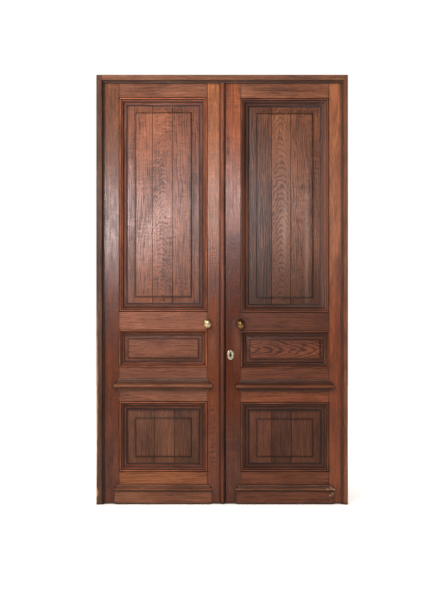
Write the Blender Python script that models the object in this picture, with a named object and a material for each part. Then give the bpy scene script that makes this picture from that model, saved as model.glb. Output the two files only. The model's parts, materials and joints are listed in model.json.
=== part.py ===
"""Pair of panelled oak doors hung in a rebated frame.

Metres, +Z up. +X is to the right and +Y is away from a person who faces the moulded side.
The origin is on the floor, midway across the frame and in the mid-plane of the leaves.
Every piece stands where it is when both leaves are shut and all the bolts are drawn.
"""

import math
from dataclasses import dataclass

import bmesh
import bpy
from mathutils import Matrix, Vector

# Gap between pieces that touch, and how far a cut runs past the face it opens
FIT = 0.0003
PAST = 0.001

# Frame
FRAME_WIDTH = 1.446
FRAME_HEIGHT = 2.470
LEFT_JAMB_FACE = 0.044
RIGHT_JAMB_FACE = 0.035
HEAD_FACE = 0.042
LIP_THICKNESS = 0.020
LIP_LAP = 0.012
LIP_STEP = 0.003
LIP_HOLLOW_WIDTH = 0.013
LIP_HOLLOW_DEPTH = 0.013
HEAD_TENON_LENGTH = 0.014
HEAD_TENON_THICKNESS = 0.012
HEAD_TENON_INSET = 0.005

# Gaps round the leaves
LIP_GAP = 0.002
HANGING_GAP = 0.003
MEETING_GAP = 0.004
MEETING_LINE = 0.011
FLOOR_GAP = 0.006

# Stiles and rails. The rails of the right leaf sit a little lower from the middle rail up.
LEAF_THICKNESS = 0.042
LEFT_HINGE_STILE = 0.095
RIGHT_HINGE_STILE = 0.082
MEETING_STILE = 0.093
MEETING_ARRIS = 0.007
BOTTOM_RAIL = 0.178
LOWER_OPENING = 0.409
MIDDLE_RAIL = 0.195
MIDDLE_OPENING = 0.217
LOCK_RAIL = 0.103
TOP_RAIL = 0.094
RIGHT_LEAF_DROP = 0.005
TENON_LENGTH = 0.055
TENON_CHEEK = 0.001
TENON_SHOULDER = 0.005

# Panels, in grooves behind the mouldings
GROOVE_DEPTH = 0.012
TONGUE_CLEARANCE = 0.001
PANEL_SET_BACK = 0.020
BACK_CHEEK = 0.008
MARGIN_RISE = 0.003
FIELD_RISE = 0.0075
FIELD_STEP = 0.008
FIELD_ARRIS = 0.001
FIELD_INSET = 0.092
FIELD_SIDE_INSET = 0.099
LOWER_FIELD_TOP_INSET = 0.105
MIDDLE_FIELD_INSET = 0.058

# Panel mouldings
MOULDING_WIDTH = 0.050
MIDDLE_MOULDING_WIDTH = 0.033
OUTER_EDGE_DEPTH = 0.0045
BEAD_DEPTH = 0.0025
BEAD_PROUD = 0.002
QUIRK_DEPTH = 0.006
FILLET_THICKNESS = 0.0065
FILLET_SLOPE = 0.001
FILLET_STEP = 0.002
INNER_EDGE = 0.0015

# Ledge on the middle rail, with returned ends
LEDGE_ABOVE_RAIL = 0.060
LEDGE_HEIGHT = 0.069
LEDGE_PROJECTION = 0.027
LEDGE_FOOT = 0.004
LEDGE_NOSE = 0.012
LEDGE_HOLLOW = 0.024
LEDGE_EASE = 0.003
LEDGE_STEP = 0.005

# Plinth board and its cap on the bottom rail
PLINTH_TOP = 0.0815
PLINTH_THICKNESS = 0.018
PLINTH_OVERHANG = 0.005
CAP_HEIGHT = 0.0285
CAP_PROJECTION = 0.024
CAP_NOSE = 0.007
CAP_EASE = 0.002
CAP_STEP = 0.004
CAP_FILLET = 0.006
CAP_TOP = 0.009

# Cover strip on the left leaf's meeting edge
STRIP_WIDTH = 0.025
STRIP_PROUD = 0.012
STRIP_EDGE = 0.003
STRIP_FLAT = 0.013
STRIP_EASE = 0.002
STRIP_ROUND = 0.004

# Lift-off hinges, at the back of the gap beside each jamb
HINGE_FROM_BOTTOM = 0.300
HINGE_FROM_TOP = 0.240
HINGE_HALF = 0.070
HINGE_TIP = 0.010
HALF_GAP = 0.0005
KNUCKLE_RADIUS = 0.007
KNUCKLE_STANDOFF = 0.0005
PIN_RADIUS = 0.004
PIN_LENGTH = 0.050
PLATE_THICKNESS = 0.0025
PLATE_DEPTH = 0.030

# Oval knobs, centred where the meeting stile joins the lock rail
KNOB_ABOVE_RAIL = 0.038
KNOB_HEIGHT = 0.060
KNOB_WIDTH = 0.050
KNOB_DEPTH = 0.041
COLLAR_RADIUS = 0.015
COLLAR_LENGTH = 0.006
NECK_RADIUS = 0.009
NECK_LENGTH = 0.010
SPINDLE = 0.008
SPINDLE_END = 0.016
SPINDLE_CLEARANCE = 0.0008

# Plates let into the meeting edges
FOREND_THICKNESS = 0.0025
FOREND_WIDTH = 0.020
FOREND_BEYOND = 0.018
STRIKE_THICKNESS = 0.002
STRIKE_WIDTH = 0.022
STRIKE_BEYOND = 0.024
CASE_THICKNESS = 0.014

# Latch worked by the right leaf's knobs
LATCH_CASE_HEIGHT = 0.028
LATCH_CASE_BEYOND = 0.014
LATCH_HEIGHT = 0.016
LATCH_THICKNESS = 0.009
LATCH_LENGTH = 0.060
LATCH_BEVEL = 0.007
LATCH_THROW = 0.012

# Lock worked by a key, and its oval keyhole plate
KEYHOLE_ABOVE_RAIL = 0.077
KEYHOLE_BACKSET = 0.035
KEYHOLE_RADIUS = 0.0045
KEYHOLE_SLOT = 0.006
KEYHOLE_LENGTH = 0.023
KEYHOLE_PLATE_WIDTH = 0.039
KEYHOLE_PLATE_HEIGHT = 0.058
KEYHOLE_PLATE_THICKNESS = 0.003
LOCK_CASE_DEPTH = 0.056
LOCK_CASE_BELOW = 0.030
LOCK_CASE_ABOVE = 0.046
LOCK_BOLT_ABOVE = 0.026
LOCK_BOLT_HEIGHT = 0.024
LOCK_BOLT_THICKNESS = 0.008
LOCK_BOLT_LENGTH = 0.046
LOCK_BOLT_THROW = 0.016

# Flush bolts in the left leaf's meeting edge
FLUSH_BAR = 0.010
FLUSH_LENGTH = 0.150
FLUSH_THROW = 0.018
FLUSH_PLATE_THICKNESS = 0.002
FLUSH_PLATE_WIDTH = 0.018
FLUSH_PLATE_LENGTH = 0.165
THUMB_SIZE = 0.006
THUMB_FROM_END = 0.100
SOCKET_CLEARANCE = 0.001

LEAF_FRONT = -LEAF_THICKNESS / 2
LEAF_BACK = LEAF_THICKNESS / 2
LEAF_TOP = FRAME_HEIGHT - HEAD_FACE + LIP_LAP
FRAME_FRONT = LEAF_FRONT - LIP_GAP - LIP_THICKNESS
FRAME_BACK = LEAF_BACK
GROOVE_FRONT = LEAF_FRONT + PANEL_SET_BACK
GROOVE_BACK = LEAF_BACK - BACK_CHEEK
TENON_SPAN = (GROOVE_FRONT + TENON_CHEEK, GROOVE_BACK - TENON_CHEEK)
HINGE_AXIS_Y = LEAF_BACK + KNUCKLE_STANDOFF + KNUCKLE_RADIUS
LOWEST_HINGE = FLOOR_GAP + HINGE_FROM_BOTTOM
HIGHEST_HINGE = LEAF_TOP - HINGE_FROM_TOP
HINGE_HEIGHTS = {
    "bottom": LOWEST_HINGE,
    "middle": (LOWEST_HINGE + HIGHEST_HINGE) / 2,
    "top": HIGHEST_HINGE,
}
SPINDLE_BORE = SPINDLE / math.sqrt(2) + SPINDLE_CLEARANCE


@dataclass(frozen=True)
class Leaf:
    """One leaf: toward is the X direction from its hinges to its meeting edge."""

    name: str
    toward: int
    edge: float
    hinge_stile: float
    meet: float
    drop: float

    @property
    def hinge_sight(self):
        return self.edge + self.toward * self.hinge_stile

    @property
    def meet_sight(self):
        return self.meet - self.toward * MEETING_STILE

    @property
    def sight(self):
        return tuple(sorted((self.hinge_sight, self.meet_sight)))

    @property
    def rebate(self):
        return self.edge - self.toward * HANGING_GAP

    @property
    def hinge_axis(self):
        return self.edge - self.toward * HANGING_GAP / 2

    @property
    def openings(self):
        lower = FLOOR_GAP + BOTTOM_RAIL
        lower_top = lower + LOWER_OPENING - self.drop
        middle = lower_top + MIDDLE_RAIL
        upper = middle + MIDDLE_OPENING + LOCK_RAIL
        return {
            "lower": (lower, lower_top),
            "middle": (middle, middle + MIDDLE_OPENING),
            "upper": (upper, LEAF_TOP - TOP_RAIL - self.drop),
        }

    @property
    def rails(self):
        gaps = self.openings
        return {
            "bottom": (FLOOR_GAP, gaps["lower"][0]),
            "middle": (gaps["lower"][1], gaps["middle"][0]),
            "lock": (gaps["middle"][1], gaps["upper"][0]),
            "top": (gaps["upper"][1], LEAF_TOP),
        }

    @property
    def knob_height(self):
        return self.rails["lock"][0] + KNOB_ABOVE_RAIL


LEFT = Leaf(
    "left",
    1,
    -FRAME_WIDTH / 2 + LEFT_JAMB_FACE - LIP_LAP,
    LEFT_HINGE_STILE,
    MEETING_LINE - MEETING_GAP / 2,
    0.0,
)
RIGHT = Leaf(
    "right",
    -1,
    FRAME_WIDTH / 2 - RIGHT_JAMB_FACE + LIP_LAP,
    RIGHT_HINGE_STILE,
    MEETING_LINE + MEETING_GAP / 2,
    RIGHT_LEAF_DROP,
)
KEYHOLE_X = RIGHT.meet + KEYHOLE_BACKSET
KEYHOLE_HEIGHT = RIGHT.rails["middle"][1] + KEYHOLE_ABOVE_RAIL
LOCK_BOLT_Z = KEYHOLE_HEIGHT + LOCK_BOLT_ABOVE
LATCH_Z = RIGHT.knob_height


def material(name, colour, roughness, metallic=0.0):
    made = bpy.data.materials.new(name)
    made.use_nodes = True
    shader = made.node_tree.nodes["Principled BSDF"]
    shader.inputs["Base Color"].default_value = (*colour, 1.0)
    shader.inputs["Roughness"].default_value = roughness
    shader.inputs["Metallic"].default_value = metallic
    return made


def world_place(thing):
    """Where an object stands, from its own location and those of its parents."""
    place = Vector((0.0, 0.0, 0.0))
    while thing:
        place += thing.location
        thing = thing.parent
    return place


def pivot(name, place, parent=None):
    """An empty on a joint's axis."""
    empty = bpy.data.objects.new(name, None)
    bpy.context.scene.collection.objects.link(empty)
    empty.location = Vector(place) - world_place(parent)
    empty.parent = parent
    return empty


def piece(name, bm, look, parent=None, origin=None):
    """A named solid from a shape drawn where it stands, with its origin on the given point."""
    centre = Vector(origin) if origin else world_place(parent)
    bmesh.ops.translate(bm, verts=bm.verts[:], vec=-centre)
    mesh = bpy.data.meshes.new(name)
    bm.to_mesh(mesh)
    bm.free()
    mesh.materials.append(look)
    made = bpy.data.objects.new(name, mesh)
    bpy.context.scene.collection.objects.link(made)
    made.parent = parent
    made.location = centre - world_place(parent)
    return made


def shape_tool(name, bm):
    """A hidden shape that another piece is cut by or joined to."""
    mesh = bpy.data.meshes.new(name)
    bm.to_mesh(mesh)
    bm.free()
    made = bpy.data.objects.new(name, mesh)
    bpy.context.scene.collection.objects.link(made)
    made.hide_render = True
    made.display_type = "WIRE"
    return made


def combine(target, bm, operation):
    tool = shape_tool(f"{target.name}_tool_{len(target.modifiers)}", bm)
    step = target.modifiers.new(tool.name, "BOOLEAN")
    step.operation = operation
    step.solver = "EXACT"
    step.object = tool


def cut(target, bm):
    combine(target, bm, "DIFFERENCE")


def join(target, bm):
    combine(target, bm, "UNION")


def spread(span, by):
    low, high = sorted(span)
    return (low - by, high + by)


def boxes(*blocks):
    """Separate blocks in one shape, each given by its X, Y and Z spans."""
    bm = bmesh.new()
    for block in blocks:
        spans = [sorted(span) for span in block]
        middle = Vector([(low + high) / 2 for low, high in spans])
        size = [high - low for low, high in spans]
        place = Matrix.Translation(middle) @ Matrix.Diagonal((*size, 1.0))
        bmesh.ops.create_cube(bm, size=1.0, matrix=place)
    return bm


def skin(loops, ring=False):
    """A closed skin over matching loops of points, with flat ends or joined round into a ring."""
    bm = bmesh.new()
    rows = [[bm.verts.new(point) for point in loop] for loop in loops]
    pairs = list(zip(rows, rows[1:]))
    if ring:
        pairs.append((rows[-1], rows[0]))
    else:
        bm.faces.new(rows[0])
        bm.faces.new(rows[-1])
    for near, far in pairs:
        for i in range(len(near)):
            bm.faces.new((near[i - 1], near[i], far[i], far[i - 1]))
    bmesh.ops.recalc_face_normals(bm, faces=bm.faces[:])
    return bm


def along_x(outline, start, end):
    return skin([[(x, y, z) for y, z in outline] for x in (start, end)])


def along_y(outline, start, end):
    return skin([[(x, y, z) for x, z in outline] for y in (start, end)])


def along_z(outline, start, end):
    return skin([[(x, y, z) for x, y in outline] for z in (start, end)])


def turned(profile, centre, axis, segments):
    """A shape turned about an axis, from its radii and heights in order."""
    upward = Vector(axis)
    outward = upward.orthogonal().normalized()
    bm = bmesh.new()
    verts = [bm.verts.new(Vector(centre) + outward * r + upward * h) for r, h in profile]
    edges = [bm.edges.new(pair) for pair in zip(verts, verts[1:])]
    bmesh.ops.spin(
        bm,
        geom=verts + edges,
        cent=centre,
        axis=upward,
        angle=2 * math.pi,
        steps=segments,
        use_merge=True,
    )
    bmesh.ops.remove_doubles(bm, verts=bm.verts[:], dist=1e-6)
    bmesh.ops.recalc_face_normals(bm, faces=bm.faces[:])
    return bm


def quarter(start, end, leave, steps=5):
    """Points on a quarter of an ellipse that leaves its start along coordinate 0 or 1."""
    points = []
    for k in range(steps + 1):
        turn = math.pi / 2 * k / steps
        shares = (math.sin(turn), 1 - math.cos(turn))
        first, second = shares if leave == 0 else reversed(shares)
        points.append((start[0] + (end[0] - start[0]) * first, start[1] + (end[1] - start[1]) * second))
    return points


def lip_section(face, grow=0.0):
    """Section of a frame member as (distance in from its outer face, Y), grown for the cope."""
    over = PAST if grow else 0.0
    rebate = face - LIP_LAP - HANGING_GAP + grow
    hollow = quarter(
        (face - LIP_HOLLOW_WIDTH + grow, FRAME_FRONT + LIP_STEP - grow),
        (face + grow, FRAME_FRONT + LIP_HOLLOW_DEPTH - grow),
        1,
    )
    lip_back = FRAME_FRONT + LIP_THICKNESS + grow
    return [
        (0.0, FRAME_FRONT - over),
        (hollow[0][0], FRAME_FRONT - over),
        *hollow,
        (face + grow, lip_back),
        (rebate, lip_back),
        (rebate, FRAME_BACK + over),
        (0.0, FRAME_BACK + over),
    ]


def head_tenon(leaf, grow):
    """Tenon of the head in one jamb, or its mortise when grown."""
    tip = leaf.rebate - leaf.toward * (HEAD_TENON_LENGTH + grow)
    root = leaf.rebate + leaf.toward * HEAD_TENON_LENGTH
    under = FRAME_HEIGHT - HEAD_FACE + LIP_LAP + HANGING_GAP
    half = HEAD_TENON_THICKNESS / 2 + grow
    heights = spread((under + HEAD_TENON_INSET, FRAME_HEIGHT - HEAD_TENON_INSET), grow)
    return (tip, root), (-half, half), heights


def hinge_plate(face, into, low, grow=0.0):
    """Plate of a hinge half let into a face, or its recess when grown."""
    x_span = (face + into * (PLATE_THICKNESS + grow), face - into * (PAST if grow else 0.0))
    reach = LEAF_BACK + PAST if grow else HINGE_AXIS_Y
    return x_span, (LEAF_BACK - PLATE_DEPTH - grow, reach), (low - grow, low + HINGE_HALF + grow)


def build_frame(oak):
    left = -FRAME_WIDTH / 2
    for leaf, outer, face in ((LEFT, left, LEFT_JAMB_FACE), (RIGHT, -left, RIGHT_JAMB_FACE)):
        outline = [(outer + leaf.toward * a, y) for a, y in lip_section(face)]
        jamb = piece(f"{leaf.name}_jamb", along_z(outline, 0.0, FRAME_HEIGHT), oak)
        recesses = [
            hinge_plate(leaf.rebate, -leaf.toward, height - HINGE_HALF, FIT)
            for height in HINGE_HEIGHTS.values()
        ]
        cut(jamb, boxes(head_tenon(leaf, FIT), *recesses))

    outline = [(y, FRAME_HEIGHT - a) for a, y in lip_section(HEAD_FACE)]
    inner = left + HEAD_TENON_LENGTH / 2
    head = piece("head", along_x(outline, inner, -inner), oak)
    for leaf, outer, face in ((LEFT, left, LEFT_JAMB_FACE), (RIGHT, -left, RIGHT_JAMB_FACE)):
        cope = [(outer + leaf.toward * a, y) for a, y in lip_section(face, FIT)]
        cut(head, along_z(cope, 0.0, FRAME_HEIGHT + PAST))
    join(head, boxes(head_tenon(LEFT, 0.0), head_tenon(RIGHT, 0.0)))
    under = FRAME_HEIGHT - HEAD_FACE + LIP_LAP + HANGING_GAP
    bar = spread(flush_bar_x(), SOCKET_CLEARANCE)
    half = FLUSH_BAR / 2 + SOCKET_CLEARANCE
    cut(head, boxes((bar, (-half, half), (under - PAST, under + FLUSH_THROW))))


def tenon_heights(leaf, rail, at_meeting):
    """Z span of a rail's tenon, kept above the latch where the knobs pass through."""
    low, high = leaf.rails[rail]
    clear = GROOVE_DEPTH + TENON_SHOULDER
    if rail == "lock" and at_meeting:
        return leaf.knob_height + LATCH_CASE_HEIGHT / 2 + TENON_SHOULDER, high - clear
    return low + clear, high - clear


def tenon(leaf, rail, at_meeting, grow=0.0):
    """Tenon of a rail in one stile, or its mortise when grown."""
    sight = leaf.meet_sight if at_meeting else leaf.hinge_sight
    out = leaf.toward if at_meeting else -leaf.toward
    root = sight - out * GROOVE_DEPTH if not grow else sight + out * GROOVE_DEPTH / 2
    heights = spread(tenon_heights(leaf, rail, at_meeting), grow)
    return (root, sight + out * (TENON_LENGTH + grow)), spread(TENON_SPAN, grow), heights


def haunch(leaf, rail, at_meeting):
    """Stub of an end rail's tenon that fills the stile's groove out to the end of the leaf."""
    sight = leaf.meet_sight if at_meeting else leaf.hinge_sight
    out = leaf.toward if at_meeting else -leaf.toward
    low, high = leaf.rails[rail]
    tenon_low, tenon_high = tenon_heights(leaf, rail, at_meeting)
    heights = (low, tenon_low + PAST) if rail == "bottom" else (tenon_high - PAST, high)
    return (sight - out * GROOVE_DEPTH, sight + out * (GROOVE_DEPTH - FIT)), TENON_SPAN, heights


def stile_outline(outer, sight, arris):
    """Section of a stile, grooved for the panels, with its outer front edge eased."""
    out = 1 if outer > sight else -1
    bottom = sight + out * GROOVE_DEPTH
    corner = [(outer, LEAF_FRONT)]
    if arris:
        corner = [(outer, LEAF_FRONT + arris), (outer - out * arris, LEAF_FRONT)]
    return [
        *corner,
        (sight, LEAF_FRONT),
        (sight, GROOVE_FRONT),
        (bottom, GROOVE_FRONT),
        (bottom, GROOVE_BACK),
        (sight, GROOVE_BACK),
        (sight, LEAF_BACK),
        (outer, LEAF_BACK),
    ]


def rail_outline(low, high, groove_below, groove_above):
    """Section of a rail as (Y, Z), grooved on the edges that hold a panel."""
    outline = [(LEAF_FRONT, low)]
    if groove_below:
        outline += [(GROOVE_FRONT, low), (GROOVE_FRONT, low + GROOVE_DEPTH)]
        outline += [(GROOVE_BACK, low + GROOVE_DEPTH), (GROOVE_BACK, low)]
    outline += [(LEAF_BACK, low), (LEAF_BACK, high)]
    if groove_above:
        outline += [(GROOVE_BACK, high), (GROOVE_BACK, high - GROOVE_DEPTH)]
        outline += [(GROOVE_FRONT, high - GROOVE_DEPTH), (GROOVE_FRONT, high)]
    return [*outline, (LEAF_FRONT, high)]


def spindle_passage(leaf):
    """Way for the knobs' spindle: square where it is fixed and round where it turns."""
    start, end = LEAF_FRONT - PAST, LEAF_BACK + PAST
    if leaf is LEFT:
        half = SPINDLE / 2 + FIT
        x_span = (leaf.meet_sight - half, leaf.meet_sight + half)
        return boxes((x_span, (start, end), (leaf.knob_height - half, leaf.knob_height + half)))
    profile = [(0.0, 0.0), (SPINDLE_BORE, 0.0), (SPINDLE_BORE, end - start), (0.0, end - start)]
    return turned(profile, (leaf.meet_sight, start, leaf.knob_height), (0.0, 1.0, 0.0), 20)


def build_framing(leaf, oak, parent):
    """Stiles and rails of one leaf."""
    low, high = leaf.sight
    hinge_stile = piece(
        f"{leaf.name}_hinge_stile",
        along_z(stile_outline(leaf.edge, leaf.hinge_sight, 0.0), FLOOR_GAP, LEAF_TOP),
        oak,
        parent,
    )
    arris = MEETING_ARRIS if leaf is RIGHT else 0.0
    meeting_stile = piece(
        f"{leaf.name}_meeting_stile",
        along_z(stile_outline(leaf.meet, leaf.meet_sight, arris), FLOOR_GAP, LEAF_TOP),
        oak,
        parent,
    )
    cut(hinge_stile, boxes(*(tenon(leaf, rail, False, FIT) for rail in leaf.rails)))
    cut(meeting_stile, boxes(*(tenon(leaf, rail, True, FIT) for rail in leaf.rails)))
    cut(
        hinge_stile,
        boxes(*(hinge_plate(leaf.edge, leaf.toward, z + HALF_GAP, FIT) for z in HINGE_HEIGHTS.values())),
    )
    cut(meeting_stile, spindle_passage(leaf))

    for name, (bottom, top) in leaf.rails.items():
        outline = rail_outline(bottom, top, name != "bottom", name != "top")
        rail = piece(f"{leaf.name}_{name}_rail", along_x(outline, low + FIT, high - FIT), oak, parent)
        join(rail, boxes(tenon(leaf, name, False), tenon(leaf, name, True)))
        if name in ("top", "bottom"):
            join(rail, boxes(haunch(leaf, name, False), haunch(leaf, name, True)))
        if name == "lock":
            cut(rail, spindle_passage(leaf))
            if leaf is RIGHT:
                cut(rail, boxes(latch_case_block(FIT)))
    return meeting_stile


def rectangle(x_span, z_span, inset, y):
    (left, right), (bottom, top) = x_span, z_span
    left, right, bottom, top = left + inset, right - inset, bottom + inset, top - inset
    return [(left, y, bottom), (right, y, bottom), (right, y, top), (left, y, top)]


def moulding_section(width):
    """Section of a panel moulding as (distance in from the opening's edge, depth behind the leaf's face)."""
    part = width / 50
    fillet = PANEL_SET_BACK - FILLET_THICKNESS
    section = [(FIT, PANEL_SET_BACK), (FIT, OUTER_EDGE_DEPTH)]
    for k in range(7):
        turn = math.pi * k / 6
        depth = BEAD_DEPTH - (BEAD_DEPTH + BEAD_PROUD) * math.sin(turn)
        section.append((part * (7.5 - 4.5 * math.cos(turn)), depth))
    section += [(part * 12.5, QUIRK_DEPTH), (part * 15.0, QUIRK_DEPTH)]
    for k in range(7):
        share = k / 6
        wave = share - 0.8 * math.sin(2 * math.pi * share) / (2 * math.pi)
        depth = OUTER_EDGE_DEPTH + (fillet - OUTER_EDGE_DEPTH) * wave
        section.append((part * (15.5 + 19.5 * share), depth))
    section += [(part * 35.5, fillet + FILLET_STEP), (part * 36.5, fillet)]
    section += [(part * 42.5, fillet + FILLET_SLOPE), (part * 43.0, fillet + FILLET_SLOPE + FILLET_STEP)]
    return [*section, (width, PANEL_SET_BACK - INNER_EDGE), (width, PANEL_SET_BACK)]


def build_panels(leaf, oak, parent):
    """Raised panels and the mitred mouldings planted round them."""
    for name, heights in leaf.openings.items():
        middle = name == "middle"
        inset = MIDDLE_FIELD_INSET if middle else FIELD_INSET
        side_inset = MIDDLE_FIELD_INSET if middle else FIELD_SIDE_INSET
        top_inset = LOWER_FIELD_TOP_INSET if name == "lower" else inset
        width = MIDDLE_MOULDING_WIDTH if middle else MOULDING_WIDTH
        field_y = GROOVE_FRONT - FIELD_RISE
        tongue = GROOVE_DEPTH - TONGUE_CLEARANCE
        margin = [
            (-tongue, GROOVE_BACK - FIT),
            (-tongue, GROOVE_FRONT + FIT),
            (width, GROOVE_FRONT + FIT),
        ]
        field = [
            (inset - FIELD_STEP, GROOVE_FRONT - MARGIN_RISE),
            (inset - FIELD_STEP / 2, field_y + FIELD_ARRIS),
            (inset, field_y),
        ]
        field_sight = spread(leaf.sight, inset - side_inset)
        field_heights = (heights[0], heights[1] + inset - top_inset)
        loops = [rectangle(leaf.sight, heights, step, y) for step, y in margin]
        loops += [rectangle(field_sight, field_heights, step, y) for step, y in field]
        piece(f"{leaf.name}_{name}_panel", skin(loops), oak, parent)
        section = [rectangle(leaf.sight, heights, u, LEAF_FRONT + d) for u, d in moulding_section(width)]
        corners = [list(points) for points in zip(*section)]
        piece(f"{leaf.name}_{name}_moulding", skin(corners, ring=True), oak, parent)


def returned(levels, x_span, base):
    """A planted moulding with returned ends, from (rise, projection) pairs."""
    left, right = x_span
    back = LEAF_FRONT - FIT
    loops = []
    for rise, out in levels:
        z, front = base + rise, LEAF_FRONT - out
        start, end = left - out, right + out
        loops.append([(start, back, z), (start, front, z), (end, front, z), (end, back, z)])
    return skin(loops)


def build_planted(leaf, oak, parent):
    """Ledge, plinth board and plinth cap on the face of one leaf."""
    nose_low = LEDGE_HOLLOW
    nose_high = nose_low + LEDGE_NOSE
    eased = LEDGE_PROJECTION - LEDGE_EASE
    ledge = [
        *quarter((0.0, LEDGE_FOOT), (nose_low - LEDGE_EASE, eased), 0),
        (nose_low, LEDGE_PROJECTION),
        (nose_high, LEDGE_PROJECTION),
        (nose_high + LEDGE_EASE, eased),
        *quarter((nose_high + LEDGE_EASE, eased - LEDGE_STEP), (LEDGE_HEIGHT, LEDGE_FOOT), 1),
    ]
    base = leaf.rails["middle"][0] + LEDGE_ABOVE_RAIL
    piece(f"{leaf.name}_ledge", returned(ledge, leaf.sight, base), oak, parent)

    low, high = leaf.sight
    run = (low - PLINTH_OVERHANG, high + PLINTH_OVERHANG)
    board = [(0.0, PLINTH_THICKNESS), (PLINTH_TOP - FLOOR_GAP, PLINTH_THICKNESS)]
    piece(f"{leaf.name}_plinth_board", returned(board, run, FLOOR_GAP), oak, parent)
    eased = CAP_PROJECTION - CAP_EASE
    cap = [
        (0.0, eased),
        (CAP_EASE, CAP_PROJECTION),
        (CAP_NOSE, CAP_PROJECTION),
        (CAP_NOSE + CAP_EASE, eased),
        *quarter((CAP_NOSE + CAP_EASE, eased - CAP_STEP), (CAP_HEIGHT - CAP_FILLET, CAP_TOP), 1, 4),
        (CAP_HEIGHT, CAP_TOP),
    ]
    piece(f"{leaf.name}_plinth_cap", returned(cap, run, PLINTH_TOP + FIT), oak, parent)


def build_cover_strip(oak, parent):
    outer = LEFT.meet
    inner = outer - STRIP_WIDTH
    back, front = LEAF_FRONT - FIT, LEAF_FRONT - STRIP_PROUD
    outline = [
        (inner, back),
        *quarter((inner, LEAF_FRONT - STRIP_EDGE), (outer - STRIP_FLAT, front + STRIP_EASE), 0),
        (outer - STRIP_FLAT + STRIP_EASE, front),
        *quarter((outer - STRIP_ROUND, front), (outer, front + STRIP_ROUND), 0, 4),
        (outer, back),
    ]
    top = FRAME_HEIGHT - HEAD_FACE - LIP_GAP
    piece("cover_strip", along_z(outline, FLOOR_GAP, top), oak, parent)


def build_hinges(leaf, iron, parent):
    """Three hinges: a pin half on the jamb under a socket half on the leaf."""
    tip = (KNUCKLE_RADIUS * 0.55, HINGE_TIP * 0.7)
    for name, height in HINGE_HEIGHTS.items():
        axis = (leaf.hinge_axis, HINGE_AXIS_Y, height)
        pin_half = [
            (0.0, -HINGE_HALF - HINGE_TIP),
            (tip[0], -HINGE_HALF - tip[1]),
            (KNUCKLE_RADIUS, -HINGE_HALF),
            (KNUCKLE_RADIUS, 0.0),
            (PIN_RADIUS, 0.0),
            (PIN_RADIUS, PIN_LENGTH),
            (0.0, PIN_LENGTH),
        ]
        lower = piece(f"{leaf.name}_{name}_hinge_pin", turned(pin_half, axis, (0.0, 0.0, 1.0), 20), iron)
        join(lower, boxes(hinge_plate(leaf.rebate, -leaf.toward, height - HINGE_HALF)))
        bore = PIN_RADIUS + FIT
        socket_half = [
            (0.0, PIN_LENGTH + FIT),
            (bore, PIN_LENGTH + FIT),
            (bore, HALF_GAP),
            (KNUCKLE_RADIUS, HALF_GAP),
            (KNUCKLE_RADIUS, HALF_GAP + HINGE_HALF),
            (tip[0], HALF_GAP + HINGE_HALF + tip[1]),
            (0.0, HALF_GAP + HINGE_HALF + HINGE_TIP),
        ]
        knuckle = turned(socket_half, axis, (0.0, 0.0, 1.0), 20)
        upper = piece(f"{leaf.name}_{name}_hinge_socket", knuckle, iron, parent)
        join(upper, boxes(hinge_plate(leaf.edge, leaf.toward, height + HALF_GAP)))
        way = [(0.0, -HALF_GAP), (bore, -HALF_GAP), (bore, PIN_LENGTH + FIT), (0.0, PIN_LENGTH + FIT)]
        cut(upper, turned(way, axis, (0.0, 0.0, 1.0), 20))


def knob_shape(leaf, out):
    """Oval knob on a collar and neck, standing out from the leaf's front or back face."""
    face = LEAF_FRONT - FIT if out < 0 else LEAF_BACK + FIT
    centre = (leaf.meet_sight, face, leaf.knob_height)
    start = math.asin(2 * NECK_RADIUS / KNOB_HEIGHT)
    half_depth = KNOB_DEPTH / (1 + math.cos(start))
    neck_end = COLLAR_LENGTH + NECK_LENGTH
    middle = neck_end + half_depth * math.cos(start)
    profile = [
        (0.0, 0.0),
        (COLLAR_RADIUS, 0.0),
        (COLLAR_RADIUS, COLLAR_LENGTH * 0.5),
        (NECK_RADIUS * 1.2, COLLAR_LENGTH * 0.9),
        (NECK_RADIUS, COLLAR_LENGTH + NECK_LENGTH * 0.2),
    ]
    for k in range(10):
        turn = start + (math.pi - start) * k / 9
        profile.append((KNOB_HEIGHT / 2 * math.sin(turn), middle - half_depth * math.cos(turn)))
    profile[-1] = (0.0, neck_end + KNOB_DEPTH)
    bm = turned(profile, centre, (0.0, float(out), 0.0), 28)
    for vert in bm.verts:
        if (vert.co.y - face) * out > neck_end - FIT:
            vert.co.x = centre[0] + (vert.co.x - centre[0]) * KNOB_WIDTH / KNOB_HEIGHT
    return bm


def build_knobs(leaf, brass, parent):
    half = SPINDLE / 2
    x, z = leaf.meet_sight, leaf.knob_height
    front = piece(f"{leaf.name}_front_knob", knob_shape(leaf, -1), brass, parent)
    end = LEAF_BACK + SPINDLE_END
    join(front, boxes(((x - half, x + half), (LEAF_FRONT - COLLAR_LENGTH / 2, end), (z - half, z + half))))
    back = piece(f"{leaf.name}_back_knob", knob_shape(leaf, 1), brass, parent)
    half += FIT
    cut(back, boxes(((x - half, x + half), (LEAF_BACK - PAST, end + FIT), (z - half, z + half))))


def keyhole_shape(start, end):
    """Keyhole through the plate, the stile and the front of the lock case."""
    head = KEYHOLE_HEIGHT + KEYHOLE_LENGTH / 2 - KEYHOLE_RADIUS
    foot = KEYHOLE_HEIGHT - KEYHOLE_LENGTH / 2
    half = KEYHOLE_SLOT / 2
    opening = math.asin(half / KEYHOLE_RADIUS)
    outline = [(KEYHOLE_X - half, foot), (KEYHOLE_X + half, foot)]
    for k in range(13):
        turn = -math.pi / 2 + opening + (2 * math.pi - 2 * opening) * k / 12
        outline.append((KEYHOLE_X + KEYHOLE_RADIUS * math.cos(turn), head + KEYHOLE_RADIUS * math.sin(turn)))
    return along_y(outline, start, end)


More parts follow.
